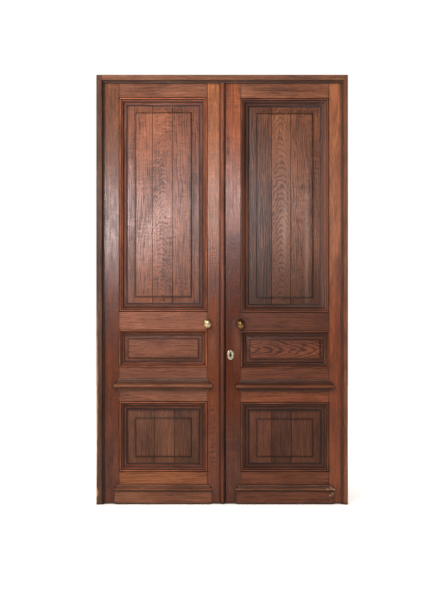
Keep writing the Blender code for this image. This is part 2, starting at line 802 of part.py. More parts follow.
def forend_block(middle_z, case_half, grow=0.0):
    """Plate of a lock or latch on the right leaf's meeting edge, or its recess when grown."""
    half = FOREND_WIDTH / 2 + grow
    deep = RIGHT.meet + FOREND_THICKNESS + grow
    tall = case_half + FOREND_BEYOND + grow
    return (RIGHT.meet - (PAST if grow else 0.0), deep), (-half, half), (middle_z - tall, middle_z + tall)


def latch_case_block(grow=0.0):
    half = CASE_THICKNESS / 2 + grow
    tall = LATCH_CASE_HEIGHT / 2 + grow
    start = RIGHT.meet + (FOREND_THICKNESS / 2 if not grow else 0.0)
    end = RIGHT.meet_sight + LATCH_CASE_BEYOND + grow
    return (start, end), (-half, half), (LATCH_Z - tall, LATCH_Z + tall)


def lock_case_block(grow=0.0):
    half = CASE_THICKNESS / 2 + grow
    start = RIGHT.meet + (FOREND_THICKNESS / 2 if not grow else 0.0)
    heights = (KEYHOLE_HEIGHT - LOCK_CASE_BELOW, KEYHOLE_HEIGHT + LOCK_CASE_ABOVE)
    return (start, RIGHT.meet + LOCK_CASE_DEPTH + grow), (-half, half), spread(heights, grow)


def build_latch(steel, brass, stile, parent):
    case = piece("latch_case", boxes(latch_case_block()), brass, parent)
    join(case, boxes(forend_block(LATCH_Z, LATCH_CASE_HEIGHT / 2)))
    reach = RIGHT.meet + LATCH_LENGTH
    half, tall = LATCH_THICKNESS / 2, LATCH_HEIGHT / 2
    heights = (LATCH_Z - tall, LATCH_Z + tall)
    cut(case, boxes(((RIGHT.meet - PAST, reach + FIT), (-half - FIT, half + FIT), spread(heights, FIT))))
    cut(case, spindle_passage(RIGHT))
    nose = RIGHT.meet + FIT
    outline = [(nose, half), (reach, half), (reach, -half), (nose + LATCH_BEVEL, -half)]
    place = (nose, 0.0, LATCH_Z)
    piece("latch_bolt", along_z(outline, *heights), steel, parent, place)
    cut(stile, boxes(latch_case_block(FIT)))
    cut(stile, boxes(forend_block(LATCH_Z, LATCH_CASE_HEIGHT / 2, FIT)))


def build_lock(steel, brass, stile, parent):
    half_case = (LOCK_CASE_BELOW + LOCK_CASE_ABOVE) / 2
    middle = KEYHOLE_HEIGHT + (LOCK_CASE_ABOVE - LOCK_CASE_BELOW) / 2
    case = piece("lock_case", boxes(lock_case_block()), brass, parent)
    join(case, boxes(forend_block(middle, half_case)))
    half, tall = LOCK_BOLT_THICKNESS / 2, LOCK_BOLT_HEIGHT / 2
    nose, reach = RIGHT.meet + FIT, RIGHT.meet + LOCK_BOLT_LENGTH
    heights = (LOCK_BOLT_Z - tall, LOCK_BOLT_Z + tall)
    cut(case, boxes(((RIGHT.meet - PAST, reach + FIT), (-half - FIT, half + FIT), spread(heights, FIT))))
    cut(case, keyhole_shape(-CASE_THICKNESS, CASE_THICKNESS / 4))
    place = (nose, 0.0, LOCK_BOLT_Z)
    piece("lock_bolt", boxes(((nose, reach), (-half, half), heights)), steel, parent, place)
    cut(stile, boxes(lock_case_block(FIT)))
    cut(stile, boxes(forend_block(middle, half_case, FIT)))
    cut(stile, keyhole_shape(LEAF_FRONT - PAST, 0.0))

    thickness = KEYHOLE_PLATE_THICKNESS
    radius = KEYHOLE_PLATE_HEIGHT / 2
    profile = [(0.0, 0.0), (radius, 0.0), (radius, thickness * 0.5)]
    profile += [(radius - thickness, thickness), (0.0, thickness)]
    centre = (KEYHOLE_X, LEAF_FRONT - FIT, KEYHOLE_HEIGHT)
    bm = turned(profile, centre, (0.0, -1.0, 0.0), 32)
    for vert in bm.verts:
        vert.co.x = KEYHOLE_X + (vert.co.x - KEYHOLE_X) * KEYHOLE_PLATE_WIDTH / KEYHOLE_PLATE_HEIGHT
    plate = piece("keyhole_plate", bm, brass, parent)
    cut(plate, keyhole_shape(LEAF_FRONT - 2 * thickness, LEAF_FRONT + PAST))


def build_strike(brass, stile, parent):
    """One long plate on the left leaf's edge, with a way for the latch and one for the lock bolt."""
    edge = LEFT.meet
    half = STRIKE_WIDTH / 2
    heights = spread((LOCK_BOLT_Z, LATCH_Z), STRIKE_BEYOND)
    block = ((edge - STRIKE_THICKNESS, edge), (-half, half), heights)
    plate = piece("strike_plate", boxes(block), brass, parent)
    seat = (edge - STRIKE_THICKNESS - FIT, edge + PAST)
    cut(stile, boxes((seat, (-half - FIT, half + FIT), spread(heights, FIT))))
    ways = []
    for middle, tall, thick, throw in (
        (LATCH_Z, LATCH_HEIGHT, LATCH_THICKNESS, LATCH_THROW),
        (LOCK_BOLT_Z, LOCK_BOLT_HEIGHT, LOCK_BOLT_THICKNESS, LOCK_BOLT_THROW),
    ):
        y_half = thick / 2 + SOCKET_CLEARANCE
        z_half = tall / 2 + SOCKET_CLEARANCE
        ways.append(((edge - throw, edge + PAST), (-y_half, y_half), (middle - z_half, middle + z_half)))
    cut(plate, boxes(*ways))
    cut(stile, boxes(*ways))


def flush_bar_x():
    """X span of the flush bolts' bars, behind their plates."""
    face = LEFT.meet - FLUSH_PLATE_THICKNESS - FIT
    return face - FLUSH_BAR, face


def build_flush_bolt(name, end, out, steel, brass, stile, parent):
    """Plate and sliding bar at one end of the left leaf's meeting edge."""

    def heights(near, far):
        return sorted((end - out * near, end - out * far))

    bar_x = flush_bar_x()
    half = FLUSH_BAR / 2
    wide = FLUSH_PLATE_WIDTH / 2
    edge = LEFT.meet
    bar = piece(
        f"{name}_bolt",
        boxes((bar_x, (-half, half), heights(FIT, FLUSH_LENGTH))),
        steel,
        parent,
        (sum(bar_x) / 2, 0.0, end),
    )
    thumb = heights(THUMB_FROM_END - THUMB_SIZE / 2, THUMB_FROM_END + THUMB_SIZE / 2)
    thumb_half = THUMB_SIZE / 2
    join(bar, boxes(((bar_x[1] - half, edge - FIT), (-thumb_half, thumb_half), thumb)))
    plate_x = (edge - FLUSH_PLATE_THICKNESS, edge)
    plate = piece(
        f"{name}_bolt_plate",
        boxes((plate_x, (-wide, wide), heights(0.0, FLUSH_PLATE_LENGTH))),
        brass,
        parent,
    )
    slot = heights(THUMB_FROM_END - thumb_half - FLUSH_THROW - FIT, THUMB_FROM_END + thumb_half + FIT)
    slot_x = (edge - FLUSH_PLATE_THICKNESS - PAST, edge + PAST)
    cut(plate, boxes((slot_x, (-thumb_half - FIT, thumb_half + FIT), slot)))
    seat_x = (edge - FLUSH_PLATE_THICKNESS - FIT, edge + PAST)
    cut(stile, boxes((seat_x, (-wide - FIT, wide + FIT), heights(-PAST, FLUSH_PLATE_LENGTH + FIT))))
    groove_x = (bar_x[0] - FIT, edge + PAST)
    cut(stile, boxes((groove_x, (-half - FIT, half + FIT), heights(-PAST, FLUSH_LENGTH + FIT))))


def main():
    for thing in list(bpy.data.objects):
        bpy.data.objects.remove(thing, do_unlink=True)
    oak = material("oak", (0.20, 0.085, 0.045), 0.45)
    panel_oak = material("panel oak", (0.23, 0.10, 0.055), 0.45)
    trim_oak = material("moulding oak", (0.16, 0.065, 0.035), 0.45)
    iron = material("iron", (0.06, 0.055, 0.05), 0.5, 1.0)
    steel = material("steel", (0.35, 0.34, 0.33), 0.35, 1.0)
    brass = material("brass", (0.62, 0.44, 0.22), 0.3, 1.0)

    build_frame(oak)
    stiles, leaves = {}, {}
    for leaf in (LEFT, RIGHT):
        axis = pivot(f"{leaf.name}_leaf", (leaf.hinge_axis, HINGE_AXIS_Y, 0.0))
        leaves[leaf.name] = axis
        stiles[leaf.name] = build_framing(leaf, oak, axis)
        build_panels(leaf, panel_oak, axis)
        build_planted(leaf, trim_oak, axis)
        build_hinges(leaf, iron, axis)

    left, right = leaves["left"], leaves["right"]
    build_cover_strip(trim_oak, left)
    build_knobs(LEFT, brass, left)
    knobs = pivot("right_knobs", (RIGHT.meet_sight, 0.0, RIGHT.knob_height), right)
    build_knobs(RIGHT, brass, knobs)
    build_latch(steel, brass, stiles["right"], right)
    build_lock(steel, brass, stiles["right"], right)
    build_strike(brass, stiles["left"], left)
    build_flush_bolt("top", LEAF_TOP, 1, steel, brass, stiles["left"], left)
    build_flush_bolt("bottom", FLOOR_GAP, -1, steel, brass, stiles["left"], left)


main()
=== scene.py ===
import json
import math

import bmesh
import bpy
from mathutils import Matrix, Vector


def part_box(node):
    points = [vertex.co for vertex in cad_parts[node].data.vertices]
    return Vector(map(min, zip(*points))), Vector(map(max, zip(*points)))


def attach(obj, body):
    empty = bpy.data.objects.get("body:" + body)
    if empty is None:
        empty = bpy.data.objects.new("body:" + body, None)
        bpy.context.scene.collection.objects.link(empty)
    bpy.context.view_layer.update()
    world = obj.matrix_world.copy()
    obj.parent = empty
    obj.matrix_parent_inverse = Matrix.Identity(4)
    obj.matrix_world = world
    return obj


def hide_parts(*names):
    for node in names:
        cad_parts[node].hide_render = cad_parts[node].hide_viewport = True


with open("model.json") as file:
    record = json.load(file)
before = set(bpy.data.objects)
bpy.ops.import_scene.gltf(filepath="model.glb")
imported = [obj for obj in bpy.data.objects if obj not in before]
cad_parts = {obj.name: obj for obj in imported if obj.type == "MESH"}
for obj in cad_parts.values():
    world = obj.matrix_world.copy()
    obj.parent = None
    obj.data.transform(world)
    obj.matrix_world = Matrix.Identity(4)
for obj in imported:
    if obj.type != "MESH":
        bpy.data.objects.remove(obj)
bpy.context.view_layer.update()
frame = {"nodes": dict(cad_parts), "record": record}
nodes = frame["nodes"]
scene = bpy.context.scene
scene.view_settings.view_transform = "Standard"
print("door: packed model loaded,", len(nodes), "solids")


# camera: square on to the front of the frame, as in the photograph
cameraSetup = {
    "pictureSize": (446, 612),  # pixels
    "mmPerPixel": 5.745,        # at the front face of the frame
    "aim": (0.0049, -0.043, 1.1415),
    "distance": 6.0,
    "sensorMm": 36.0,
}
cameraData = bpy.data.cameras.new("camera")
cameraData.sensor_width = cameraSetup["sensorMm"]
pictureHeight = cameraSetup["pictureSize"][1] * cameraSetup["mmPerPixel"] / 1000
cameraData.lens = cameraSetup["sensorMm"] * cameraSetup["distance"] / pictureHeight
camera = bpy.data.objects.new("camera", cameraData)
camera.location = Vector(cameraSetup["aim"]) - Vector((0.0, cameraSetup["distance"], 0.0))
camera.rotation_euler = (math.radians(90), 0.0, 0.0)
scene.collection.objects.link(camera)
scene.camera = camera


def hexColour(code):  # sRGB hex to linear
    values = [int(code[k:k + 2], 16) / 255 for k in (0, 2, 4)]
    return [v / 12.92 if v <= 0.04045 else ((v + 0.055) / 1.055) ** 2.4 for v in values] + [1.0]


def addNode(tree, kind, sockets=None, out=0, stops=None, **settings):  # sockets take a value or an output
    made = tree.nodes.new("ShaderNode" + kind)
    for key, value in settings.items():
        setattr(made, key, value)
    if stops:
        made.color_ramp.elements.remove(made.color_ramp.elements[1])
    for k, (position, colour) in enumerate(stops or []):
        stop = made.color_ramp.elements.new(position) if k else made.color_ramp.elements[0]
        stop.position, stop.color = position, colour
    for key, value in (sockets or {}).items():
        if isinstance(value, bpy.types.NodeSocket):
            tree.links.new(value, made.inputs[key])
        else:
            made.inputs[key].default_value = value
    return made.outputs[out] if made.outputs else made


def emptyMaterial(name):
    material = bpy.data.materials.new(name)
    material.use_nodes = True
    material.node_tree.nodes.clear()
    return material, material.node_tree


# waxed oak: stained red-brown and rubbed, so streaks, rings and ray fleck show through a satin film
# grain is drawn several times coarser than life, because a pixel of the picture is almost 6 mm
oakFigure = {  # mm across the grain, mm along it, detail
    "streak": (9, 190, 3.0),
    "fine": (5, 60, 2.0),
    "wander": (80, 420, 2.0),
    "blotch": (120, 300, 3.0),
    "fleck": (50, 11, 1.2),
    "fleckPatch": (110, 150, 2.0),
    "zigzag": (60, 38, 1.0),
    "pore": (1.1, 16, 1.0),  # at life size, for a close look
}
oakTones = {  # dark, middle and light of each stain
    "deep": ("28140c", "56301f", "764733"),
    "red": ("34180e", "74402a", "985a3c"),
    "warm": ("42200f", "8c5434", "b4754c"),
    "rose": ("3c2015", "845039", "a97056"),
    "brown": ("311b12", "6c422d", "8f6148"),
    "dull": ("271710", "523425", "704f3b"),
}
oakDefaults = {
    "grain": "Z",
    "tone": "red",
    "seed": 0.0,
    "shade": 1.0,      # brightness of this piece's stain
    "quarter": 0.6,    # 1 is quarter sawn with straight grain, 0 flat sawn with peaked figure
    "peaks": (27, 26.0),  # of flat sawn figure: mm apart, bend
    "lean": 0.0,       # how fast the pith leaves the face along the board
    "centre": 0.0,
    "ring": 0.25,
    "streak": 0.6,
    "blotch": 0.38,
    "fleck": 0.0,
    "rough": 0.42,
    "gloss": 0.3,
    "relief": 0.2,     # how far the figure stands up under the film
    "rect": None,      # the opening that a panel or moulding sits in: x low, x high, z low, z high
    "mitred": False,
    "profile": None,   # mm in from the opening's edge, share of the stain's brightness
    "profileFrom": None,  # or mm from this place: axis, start, way
    "seams": (),       # x of the joints with the stiles
    "boards": None,    # of a panel: right end, tone, quarter, fleck
    "marks": (),       # knots, stains, bare wood, painted shade and painted light: x, z, half width, half height, strength, colour
    # strength of the painted shade at full occlusion
    "shadeAndJointDirt": 0.88,
    "lowerTint": None,      # tinted towards the bottom, darker below 1 and lighter above it: share left of each colour, height of full and of none
    "worn": 0.25,      # how far the arrises are rubbed
}
oakExtras = {
    # colour of the painted shade in crevices and of the dirt in joints
    "shadeAndJointDirt": "1a0d08",
    "rubbed": "b98a66",
    # dark of knots, also used for painted shade on the upper panels
    "knotAndShade": "1c0e0a",
    "bare": "c9a27e",
    "pale": "9c8478",
    # wear colour, also used as painted light on the right upper moulding
    "wear": "8a5640",
}
oakRings = {
    "mm": 12.0,          # from ring to ring
    "band": ((0.0, 0.1), (0.2, 0.2), (0.5, 0.8), (0.85, 0.6), (1.0, 0.1)),  # place in a ring, lightness
    "aside": 0.35,       # m to the side, where the pith of a quarter sawn board lies
    "behind": 0.015,     # m behind the face, where that of a flat sawn one lies
    "wander": 0.07,
    "zigzag": 0.05,      # of a flat sawn board's rings
    "zigzagEnd": 0.4,    # share of quarter sawn without it
    "flatSawn": 0.2,     # share of quarter sawn below which a board shows peaks
    "peakSway": 0.055,
}
oakContrast = {"streak": 1.5, "blotch": 2.2, "fine": 0.6}
oakFleck = {"patch": (0.32, 0.68), "ripple": (0.38, 0.66), "change": (-0.4, 0.5)}  # noise, noise, level
oakWear = {
    "frontY": 0.004,              # marks and profiles show in front of this only
    "seedSteps": (3.7, 1.9, 5.3),
    "memberStep": 3.7,            # so that the two members of a mitred frame differ
    "pore": (0.33, 0.45, -0.27),  # noise of a full pore and of none, change of the level
    "crevice": 0.02,              # m that the painted shade reaches out of a corner
    "sheltered": (0.35, 0.92),    # openness with all the painted shade and with none
    "joint": 0.003,               # m that dirt reaches from a joint
    "railJoint": 0.009,
    "jointCore": 0.0008,
    "jointDirt": 0.62,
    "arris": 0.005,               # m that rubbing reaches from an arris
    "rubbed": (0.55, 0.9),        # rubbed most and not at all
    "markRagged": 1.6,            # how far the figure frays a mark
    "markEdge": (0.9, 1.9),       # strongest and gone
    "roughDark": 0.07,            # dark figure is rougher by this, light figure smoother
    "roughLight": 0.05,
    "reliefDepth": 0.0008,
}


def spotDistance(tree, place, x, z, halfWidth, halfHeight):  # 1 on the edge of an oval spot
    shift = (-x / halfWidth, 0.0, -z / halfHeight)
    size = (1 / halfWidth, 0.0, 1 / halfHeight)
    spot = addNode(tree, "Mapping", {"Vector": place, "Location": shift, "Scale": size})
    return addNode(tree, "VectorMath", {0: spot}, out="Value", operation="LENGTH")


def oakPlace(tree, look):  # where a point lies along and across the grain, and inside its opening
    place = addNode(tree, "TexCoord", out="Object")
    axes = addNode(tree, "SeparateXYZ", {0: place}).node.outputs
    at = {"place": place, "X": axes["X"], "Y": axes["Y"], "Z": axes["Z"]}
    at["across"], at["along"] = (axes["X"], axes["Z"]) if look["grain"] == "Z" else (axes["Z"], axes["X"])
    at["front"] = addNode(tree, "Math", {0: axes["Y"], 1: oakWear["frontY"]}, operation="LESS_THAN")
    if look["rect"]:
        x0, x1, z0, z1 = look["rect"]
        for axis, low, high in (("X", x0, x1), ("Z", z0, z1)):
            middle = (low + high) / 2
            at["beyond" + axis] = addNode(tree, "Math", {0: axes[axis], 1: middle}, operation="GREATER_THAN")
            offset = addNode(tree, "Math", {0: axes[axis], 1: middle}, operation="SUBTRACT")
            away = addNode(tree, "Math", {0: offset}, operation="ABSOLUTE")
            at["inset" + axis] = addNode(tree, "Math", {0: high - middle, 1: away}, operation="SUBTRACT")
        at["edge"] = addNode(tree, "Math", {0: at["insetX"], 1: at["insetZ"]}, operation="MINIMUM")
    if look["mitred"]:  # grain runs along each member
        upright = addNode(tree, "Math", {0: at["insetX"], 1: at["insetZ"]}, operation="LESS_THAN")
        along = addNode(tree, "Mix", {0: upright, 2: axes["X"], 3: axes["Z"]})
        member = addNode(tree, "Mix", {0: upright, 2: at["beyondZ"], 3: at["beyondX"]})
        at["across"] = at["edge"]
        at["along"] = addNode(tree, "Math", {0: member, 1: oakWear["memberStep"], 2: along},
                              operation="MULTIPLY_ADD")
    return at


def oakPatterns(tree, look, at):  # a stretched noise for each kind of figure
    grain = addNode(tree, "CombineXYZ", {0: at["across"], 1: at["Y"], 2: at["along"]})
    shift = [look["seed"] * step for step in oakWear["seedSteps"]]
    field = {}
    for key, (acrossMm, alongMm, detail) in oakFigure.items():
        size = (1000 / acrossMm, 1000 / acrossMm, 1000 / alongMm)
        mapped = addNode(tree, "Mapping", {"Vector": grain, "Location": shift, "Scale": size})
        field[key] = addNode(tree, "TexNoise", {
            "Vector": mapped, "Scale": 1.0, "Detail": detail, "Roughness": 0.6, "Distortion": 0.3})
    return field


def oakLevel(tree, look, at, field):  # 0 is the darkest stain, 1 the lightest
    centre, quarter, fleck, boardTone = look["centre"], look["quarter"], look["fleck"], None
    if look["boards"]:  # a stop for each board: tone, quarter and fleck in its colour, centre in its alpha
        x0, x1 = look["rect"][:2]
        share = addNode(tree, "MapRange", {0: at["X"], 1: x0, 2: x1})
        stops, left = [], x0
        for right, tone, boardQuarter, boardFleck in look["boards"]:
            middle = ((left + right) / 2 - x0) / (x1 - x0)
            stops.append(((left - x0) / (x1 - x0), (tone, boardQuarter, boardFleck, middle)))
            left = right
        ramp = addNode(tree, "ValToRGB", {0: share}, stops=stops)
        ramp.node.color_ramp.interpolation = "CONSTANT"
        boardTone, quarter, fleck = addNode(tree, "SeparateColor", {0: ramp}).node.outputs[:3]
        centre = addNode(tree, "Math", {0: ramp.node.outputs["Alpha"], 1: x1 - x0, 2: x0},
                         operation="MULTIPLY_ADD")

    # growth rings: distance from the pith, cut by the board's face
    rings = oakRings
    wander = addNode(tree, "Math", {0: field["wander"], 1: 0.5}, operation="SUBTRACT")
    wander = addNode(tree, "Math", {0: wander, 1: rings["wander"], 2: at["across"]}, operation="MULTIPLY_ADD")
    fromCentre = addNode(tree, "Math", {0: wander, 1: centre}, operation="SUBTRACT")
    sideways = addNode(tree, "Math", {0: quarter, 1: rings["aside"], 2: fromCentre}, operation="MULTIPLY_ADD")
    zigzag = addNode(tree, "MapRange", {
        0: quarter, 1: 0.0, 2: rings["zigzagEnd"], 3: rings["zigzag"], 4: 0.0})
    sideways = addNode(tree, "Math", {0: field["zigzag"], 1: zigzag, 2: sideways}, operation="MULTIPLY_ADD")
    inwards = addNode(tree, "Math", {0: at["along"], 1: look["lean"], 2: rings["behind"]},
                      operation="MULTIPLY_ADD")
    cutting = addNode(tree, "CombineXYZ", {0: sideways, 1: inwards})
    radius = addNode(tree, "VectorMath", {0: cutting}, out="Value", operation="LENGTH")
    count = addNode(tree, "Math", {0: radius, 1: 1000 / rings["mm"], 2: field["fine"]},
                    operation="MULTIPLY_ADD")
    # a flat sawn face shows them as stacked peaks
    peakMm, bend = look["peaks"]
    bulge = addNode(tree, "Math", {0: fromCentre, 1: fromCentre}, operation="MULTIPLY")
    bulge = addNode(tree, "Math", {0: bulge, 1: bend, 2: at["along"]}, operation="MULTIPLY_ADD")
    bulge = addNode(tree, "Math", {0: field["zigzag"], 1: rings["peakSway"], 2: bulge},
                    operation="MULTIPLY_ADD")
    peaks = addNode(tree, "Math", {0: bulge, 1: 1000 / peakMm, 2: field["fine"]}, operation="MULTIPLY_ADD")
    flat = addNode(tree, "Math", {0: quarter, 1: rings["flatSawn"]}, operation="LESS_THAN")
    count = addNode(tree, "Mix", {0: flat, 2: count, 3: peaks})
    within = addNode(tree, "Math", {0: count}, operation="FRACT")
    ring = addNode(tree, "ValToRGB", {0: within}, stops=[
        (place, (light, light, light, 1)) for place, light in rings["band"]])

    # ray fleck: short ripples across the grain, in patches
    patchLow, patchHigh = oakFleck["patch"]
    rippleLow, rippleHigh = oakFleck["ripple"]
    darker, lighter = oakFleck["change"]
    patch = addNode(tree, "MapRange", {0: field["fleckPatch"], 1: patchLow, 2: patchHigh})
    patch = addNode(tree, "Math", {0: patch, 1: fleck}, operation="MULTIPLY")
    ripple = addNode(tree, "MapRange", {
        0: field["fleck"], 1: rippleLow, 2: rippleHigh, 3: darker, 4: lighter})
    level = addNode(tree, "Math", {0: ripple, 1: patch, 2: 0.5}, operation="MULTIPLY_ADD")

    parts = [(field["streak"], oakContrast["streak"] * look["streak"]), (ring, look["ring"]),
             (field["blotch"], oakContrast["blotch"] * look["blotch"]), (field["fine"], oakContrast["fine"])]
    if boardTone:
        parts.append((boardTone, 1.0))
    for source, amount in parts:
        part = addNode(tree, "Math", {0: source, 1: amount, 2: -0.5 * amount}, operation="MULTIPLY_ADD")
        level = addNode(tree, "Math", {0: level, 1: part}, operation="ADD")
    return level


def oakShadeAndJointDirt(tree, look, at):  # painted shade in crevices from occlusion, and dark dirt in mitres and board joints
    wear = oakWear
    closed, opened = wear["sheltered"]
    shelter = addNode(tree, "AmbientOcclusion", {"Distance": wear["crevice"]}, out="AO", samples=6)
    shadeAndJointDirt = addNode(tree, "MapRange", {0: shelter, 1: closed, 2: opened, 3: look["shadeAndJointDirt"], 4: 0.0})
    lines = []
    if look["mitred"]:
        lines.append((at["insetX"], at["insetZ"], wear["joint"]))
    lines += [(at["X"], board[0], wear["joint"]) for board in (look["boards"] or [])[:-1]]
    lines += [(at["X"], x, wear["railJoint"]) for x in look["seams"]]
    for line, place, reach in lines:
        offset = addNode(tree, "Math", {0: line, 1: place}, operation="SUBTRACT")
        away = addNode(tree, "Math", {0: offset}, operation="ABSOLUTE")
        seam = addNode(tree, "MapRange", {
            0: away, 1: wear["jointCore"], 2: reach, 3: wear["jointDirt"], 4: 0.0})
        shadeAndJointDirt = addNode(tree, "Math", {0: shadeAndJointDirt, 1: seam}, operation="MAXIMUM")
    return shadeAndJointDirt


def oakMaterial(name, look):
    look = {**oakDefaults, **look}
    material, tree = emptyMaterial("waxed_oak_" + name)
    at = oakPlace(tree, look)
    field = oakPatterns(tree, look, at)
    level = oakLevel(tree, look, at, field)
    tones = [[c * look["shade"] for c in hexColour(code)[:3]] + [1.0] for code in oakTones[look["tone"]]]
    poreFull, poreNone, poreChange = oakWear["pore"]
    pore = addNode(tree, "MapRange", {0: field["pore"], 1: poreFull, 2: poreNone, 3: poreChange, 4: 0.0})
    pored = addNode(tree, "Math", {0: level, 1: pore}, operation="ADD")
    colour = addNode(tree, "ValToRGB", {0: pored}, stops=list(zip((0.0, 0.5, 1.0), tones)))

    if look["profile"]:  # painted highlight on the beads and noses, painted shade in the quirks and hollows, with rubbing and dark wax
        reach = look["profile"][-1][0]
        top = max(amount for mm, amount in look["profile"])
        if look["profileFrom"]:
            axis, start, way = look["profileFrom"]
            depth = addNode(tree, "Math", {0: at[axis], 1: way, 2: -way * start}, operation="MULTIPLY_ADD")
        else:
            depth = at["edge"]
        depth = addNode(tree, "MapRange", {0: depth, 1: 0.0, 2: reach / 1000})
        rubbed = addNode(tree, "ValToRGB", {0: depth}, stops=[
            (mm / reach, [amount / top] * 3 + [1.0]) for mm, amount in look["profile"]])
        amount = addNode(tree, "Math", {0: rubbed, 1: top}, operation="MULTIPLY")
        amount = addNode(tree, "Mix", {0: at["front"], 2: 1.0, 3: amount})
        colour = addNode(tree, "VectorMath", {0: colour, "Scale": amount}, operation="SCALE")

    # darker or lighter towards the bottom, by height
    if look["lowerTint"]:
        least, low, high = look["lowerTint"]
        height = addNode(tree, "MapRange", {0: at["Z"], 1: low, 2: high}, interpolation_type="SMOOTHSTEP")
        tint = addNode(tree, "Mix", {0: height, 6: (*least, 1.0), 7: (1.0, 1.0, 1.0, 1.0)}, out=2,
                       data_type="RGBA")
        colour = addNode(tree, "VectorMath", {0: colour, 1: tint}, operation="MULTIPLY")
    if look["worn"]:  # arrises rubbed lighter
        rubbedMost, rubbedNone = oakWear["rubbed"]
        hollow = addNode(tree, "AmbientOcclusion", {"Distance": oakWear["arris"]}, out="AO", samples=6,
                         inside=True)
        broken = addNode(tree, "Math", {0: field["streak"], 1: 0.5, 2: hollow}, operation="MULTIPLY_ADD")
        worn = addNode(tree, "MapRange", {0: broken, 1: rubbedMost, 2: rubbedNone, 3: look["worn"], 4: 0.0})
        colour = addNode(tree, "Mix", {0: worn, 6: colour, 7: hexColour(oakExtras["rubbed"])}, out=2,
                         data_type="RGBA")
    # painted shade in crevices, and dirt along joints and mitres
    shadeAndJointDirt = oakShadeAndJointDirt(tree, look, at)
    colour = addNode(tree, "Mix", {0: shadeAndJointDirt, 6: colour, 7: hexColour(oakExtras["shadeAndJointDirt"])}, out=2,
                     data_type="RGBA")
    markFull, markNone = oakWear["markEdge"]
    for *spot, strength, kind in look["marks"]:
        far = spotDistance(tree, at["place"], *spot)
        ragged = addNode(tree, "Math", {0: field["fine"], 1: oakWear["markRagged"], 2: far},
                         operation="MULTIPLY_ADD")
        mark = addNode(tree, "MapRange", {0: ragged, 1: markFull, 2: markNone, 3: strength, 4: 0.0})
        mark = addNode(tree, "Math", {0: mark, 1: at["front"]}, operation="MULTIPLY")
        colour = addNode(tree, "Mix", {0: mark, 6: colour, 7: hexColour(oakExtras[kind])}, out=2,
                         data_type="RGBA")
    rough = addNode(tree, "MapRange", {
        0: level, 1: 0.2, 2: 0.8,
        3: look["rough"] + oakWear["roughDark"], 4: look["rough"] - oakWear["roughLight"]})
    bump = addNode(tree, "Bump", {
        "Strength": look["relief"], "Distance": oakWear["reliefDepth"], "Height": level})
    shader = addNode(tree, "BsdfPrincipled", {
        "Base Color": colour, "Roughness": rough, "Normal": bump, "IOR": 1.5,
        "Specular IOR Level": look["gloss"]})
    addNode(tree, "OutputMaterial", {"Surface": shader})
    return material


# handled metal: bright where it is rubbed, dark and dull in spots and corners
metalWear = {
    "spotMm": 9,
    "crevice": 0.012,
    "tarnish": (0.15, 0.5, 0.9),  # full at, none at, strongest
    "holeRim": (0.8, 1.15),       # share of the hole's size: black within, clean beyond
    "smoother": 0.06,
    "rougher": 0.1,
}


def metalMaterial(name, code, tarnishAndShadeCode, rough, metallic=1.0, hole=None):
    material, tree = emptyMaterial(name)
    full, none, strongest = metalWear["tarnish"]
    place = addNode(tree, "TexCoord", out="Object")
    tarnish = addNode(tree, "TexNoise", {"Vector": place, "Scale": 1000 / metalWear["spotMm"], "Detail": 4.0})
    shelter = addNode(tree, "AmbientOcclusion", {"Distance": metalWear["crevice"]}, out="AO", samples=6)
    worn = addNode(tree, "Math", {0: tarnish, 1: shelter}, operation="MULTIPLY")
    share = addNode(tree, "MapRange", {0: worn, 1: full, 2: none, 3: strongest, 4: 0.0})
    if hole:  # painted shade in the keyhole, black within it, and dark wax round its rim
        far = spotDistance(tree, place, *hole)
        rimIn, rimOut = metalWear["holeRim"]
        rim = addNode(tree, "MapRange", {0: far, 1: rimIn, 2: rimOut, 3: 1.0, 4: 0.0})
        share = addNode(tree, "Math", {0: share, 1: rim}, operation="MAXIMUM")
    colour = addNode(tree, "Mix", {0: share, 6: hexColour(code), 7: hexColour(tarnishAndShadeCode)}, out=2,
                     data_type="RGBA")
    gloss = addNode(tree, "MapRange", {
        0: tarnish, 1: 0.3, 2: 0.7, 3: rough - metalWear["smoother"], 4: rough + metalWear["rougher"]})
    shader = addNode(tree, "BsdfPrincipled", {"Base Color": colour, "Roughness": gloss, "Metallic": metallic})
    addNode(tree, "OutputMaterial", {"Surface": shader})
    return material


fit = 0.0003  # m between a planted piece and its seat
weldDistance = 0.00002  # m
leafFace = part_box("left_meeting_stile")[0].y
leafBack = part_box("left_meeting_stile")[1].y
openings = {}
for side in ("left", "right"):
    for level in ("upper", "middle", "lower"):
        low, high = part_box(f"{side}_{level}_moulding")
        openings[side, level] = (low.x - fit, high.x + fit, low.z - fit, high.z + fit)

# painted light and shade along each profile, with rubbing and dirt: mm from its start, share of the stain's
# brightness
beadProfile = [(0, 0.3), (2.5, 0.24), (4.5, 1.0), (8, 1.5), (11, 1.0), (13, 0.2), (15.5, 0.24), (18, 0.75),
               (22, 0.6), (26, 0.25), (31, 0.28), (34, 0.72), (38, 0.7), (41, 0.44), (44, 0.14), (50, 0.22)]
fieldProfile = [(44, 0.5), (49, 0.85), (60, 1.0), (80, 0.95), (84, 0.66), (88, 0.4), (92, 0.52), (95, 0.88),
                (101, 1.0)]
# ledge: painted highlight on the nose, painted shade in the cove and under the nose
ledgeProfile = [(0, 0.55), (8, 0.66), (13, 0.72), (18, 0.85), (22, 1.0), (28, 1.4), (33, 1.4), (37, 1.1),
                (42, 0.75), (48, 0.48), (56, 0.46), (63, 0.54), (69, 0.6)]
capProfile = [(0, 0.9), (4, 1.3), (9, 1.2), (12, 0.85), (20, 0.85), (24, 1.15), (28.5, 1.25)]
wornCapProfile = [(mm, amount * 1.9 if mm < 10 else amount * 1.3) for mm, amount in capProfile]  # nose barest
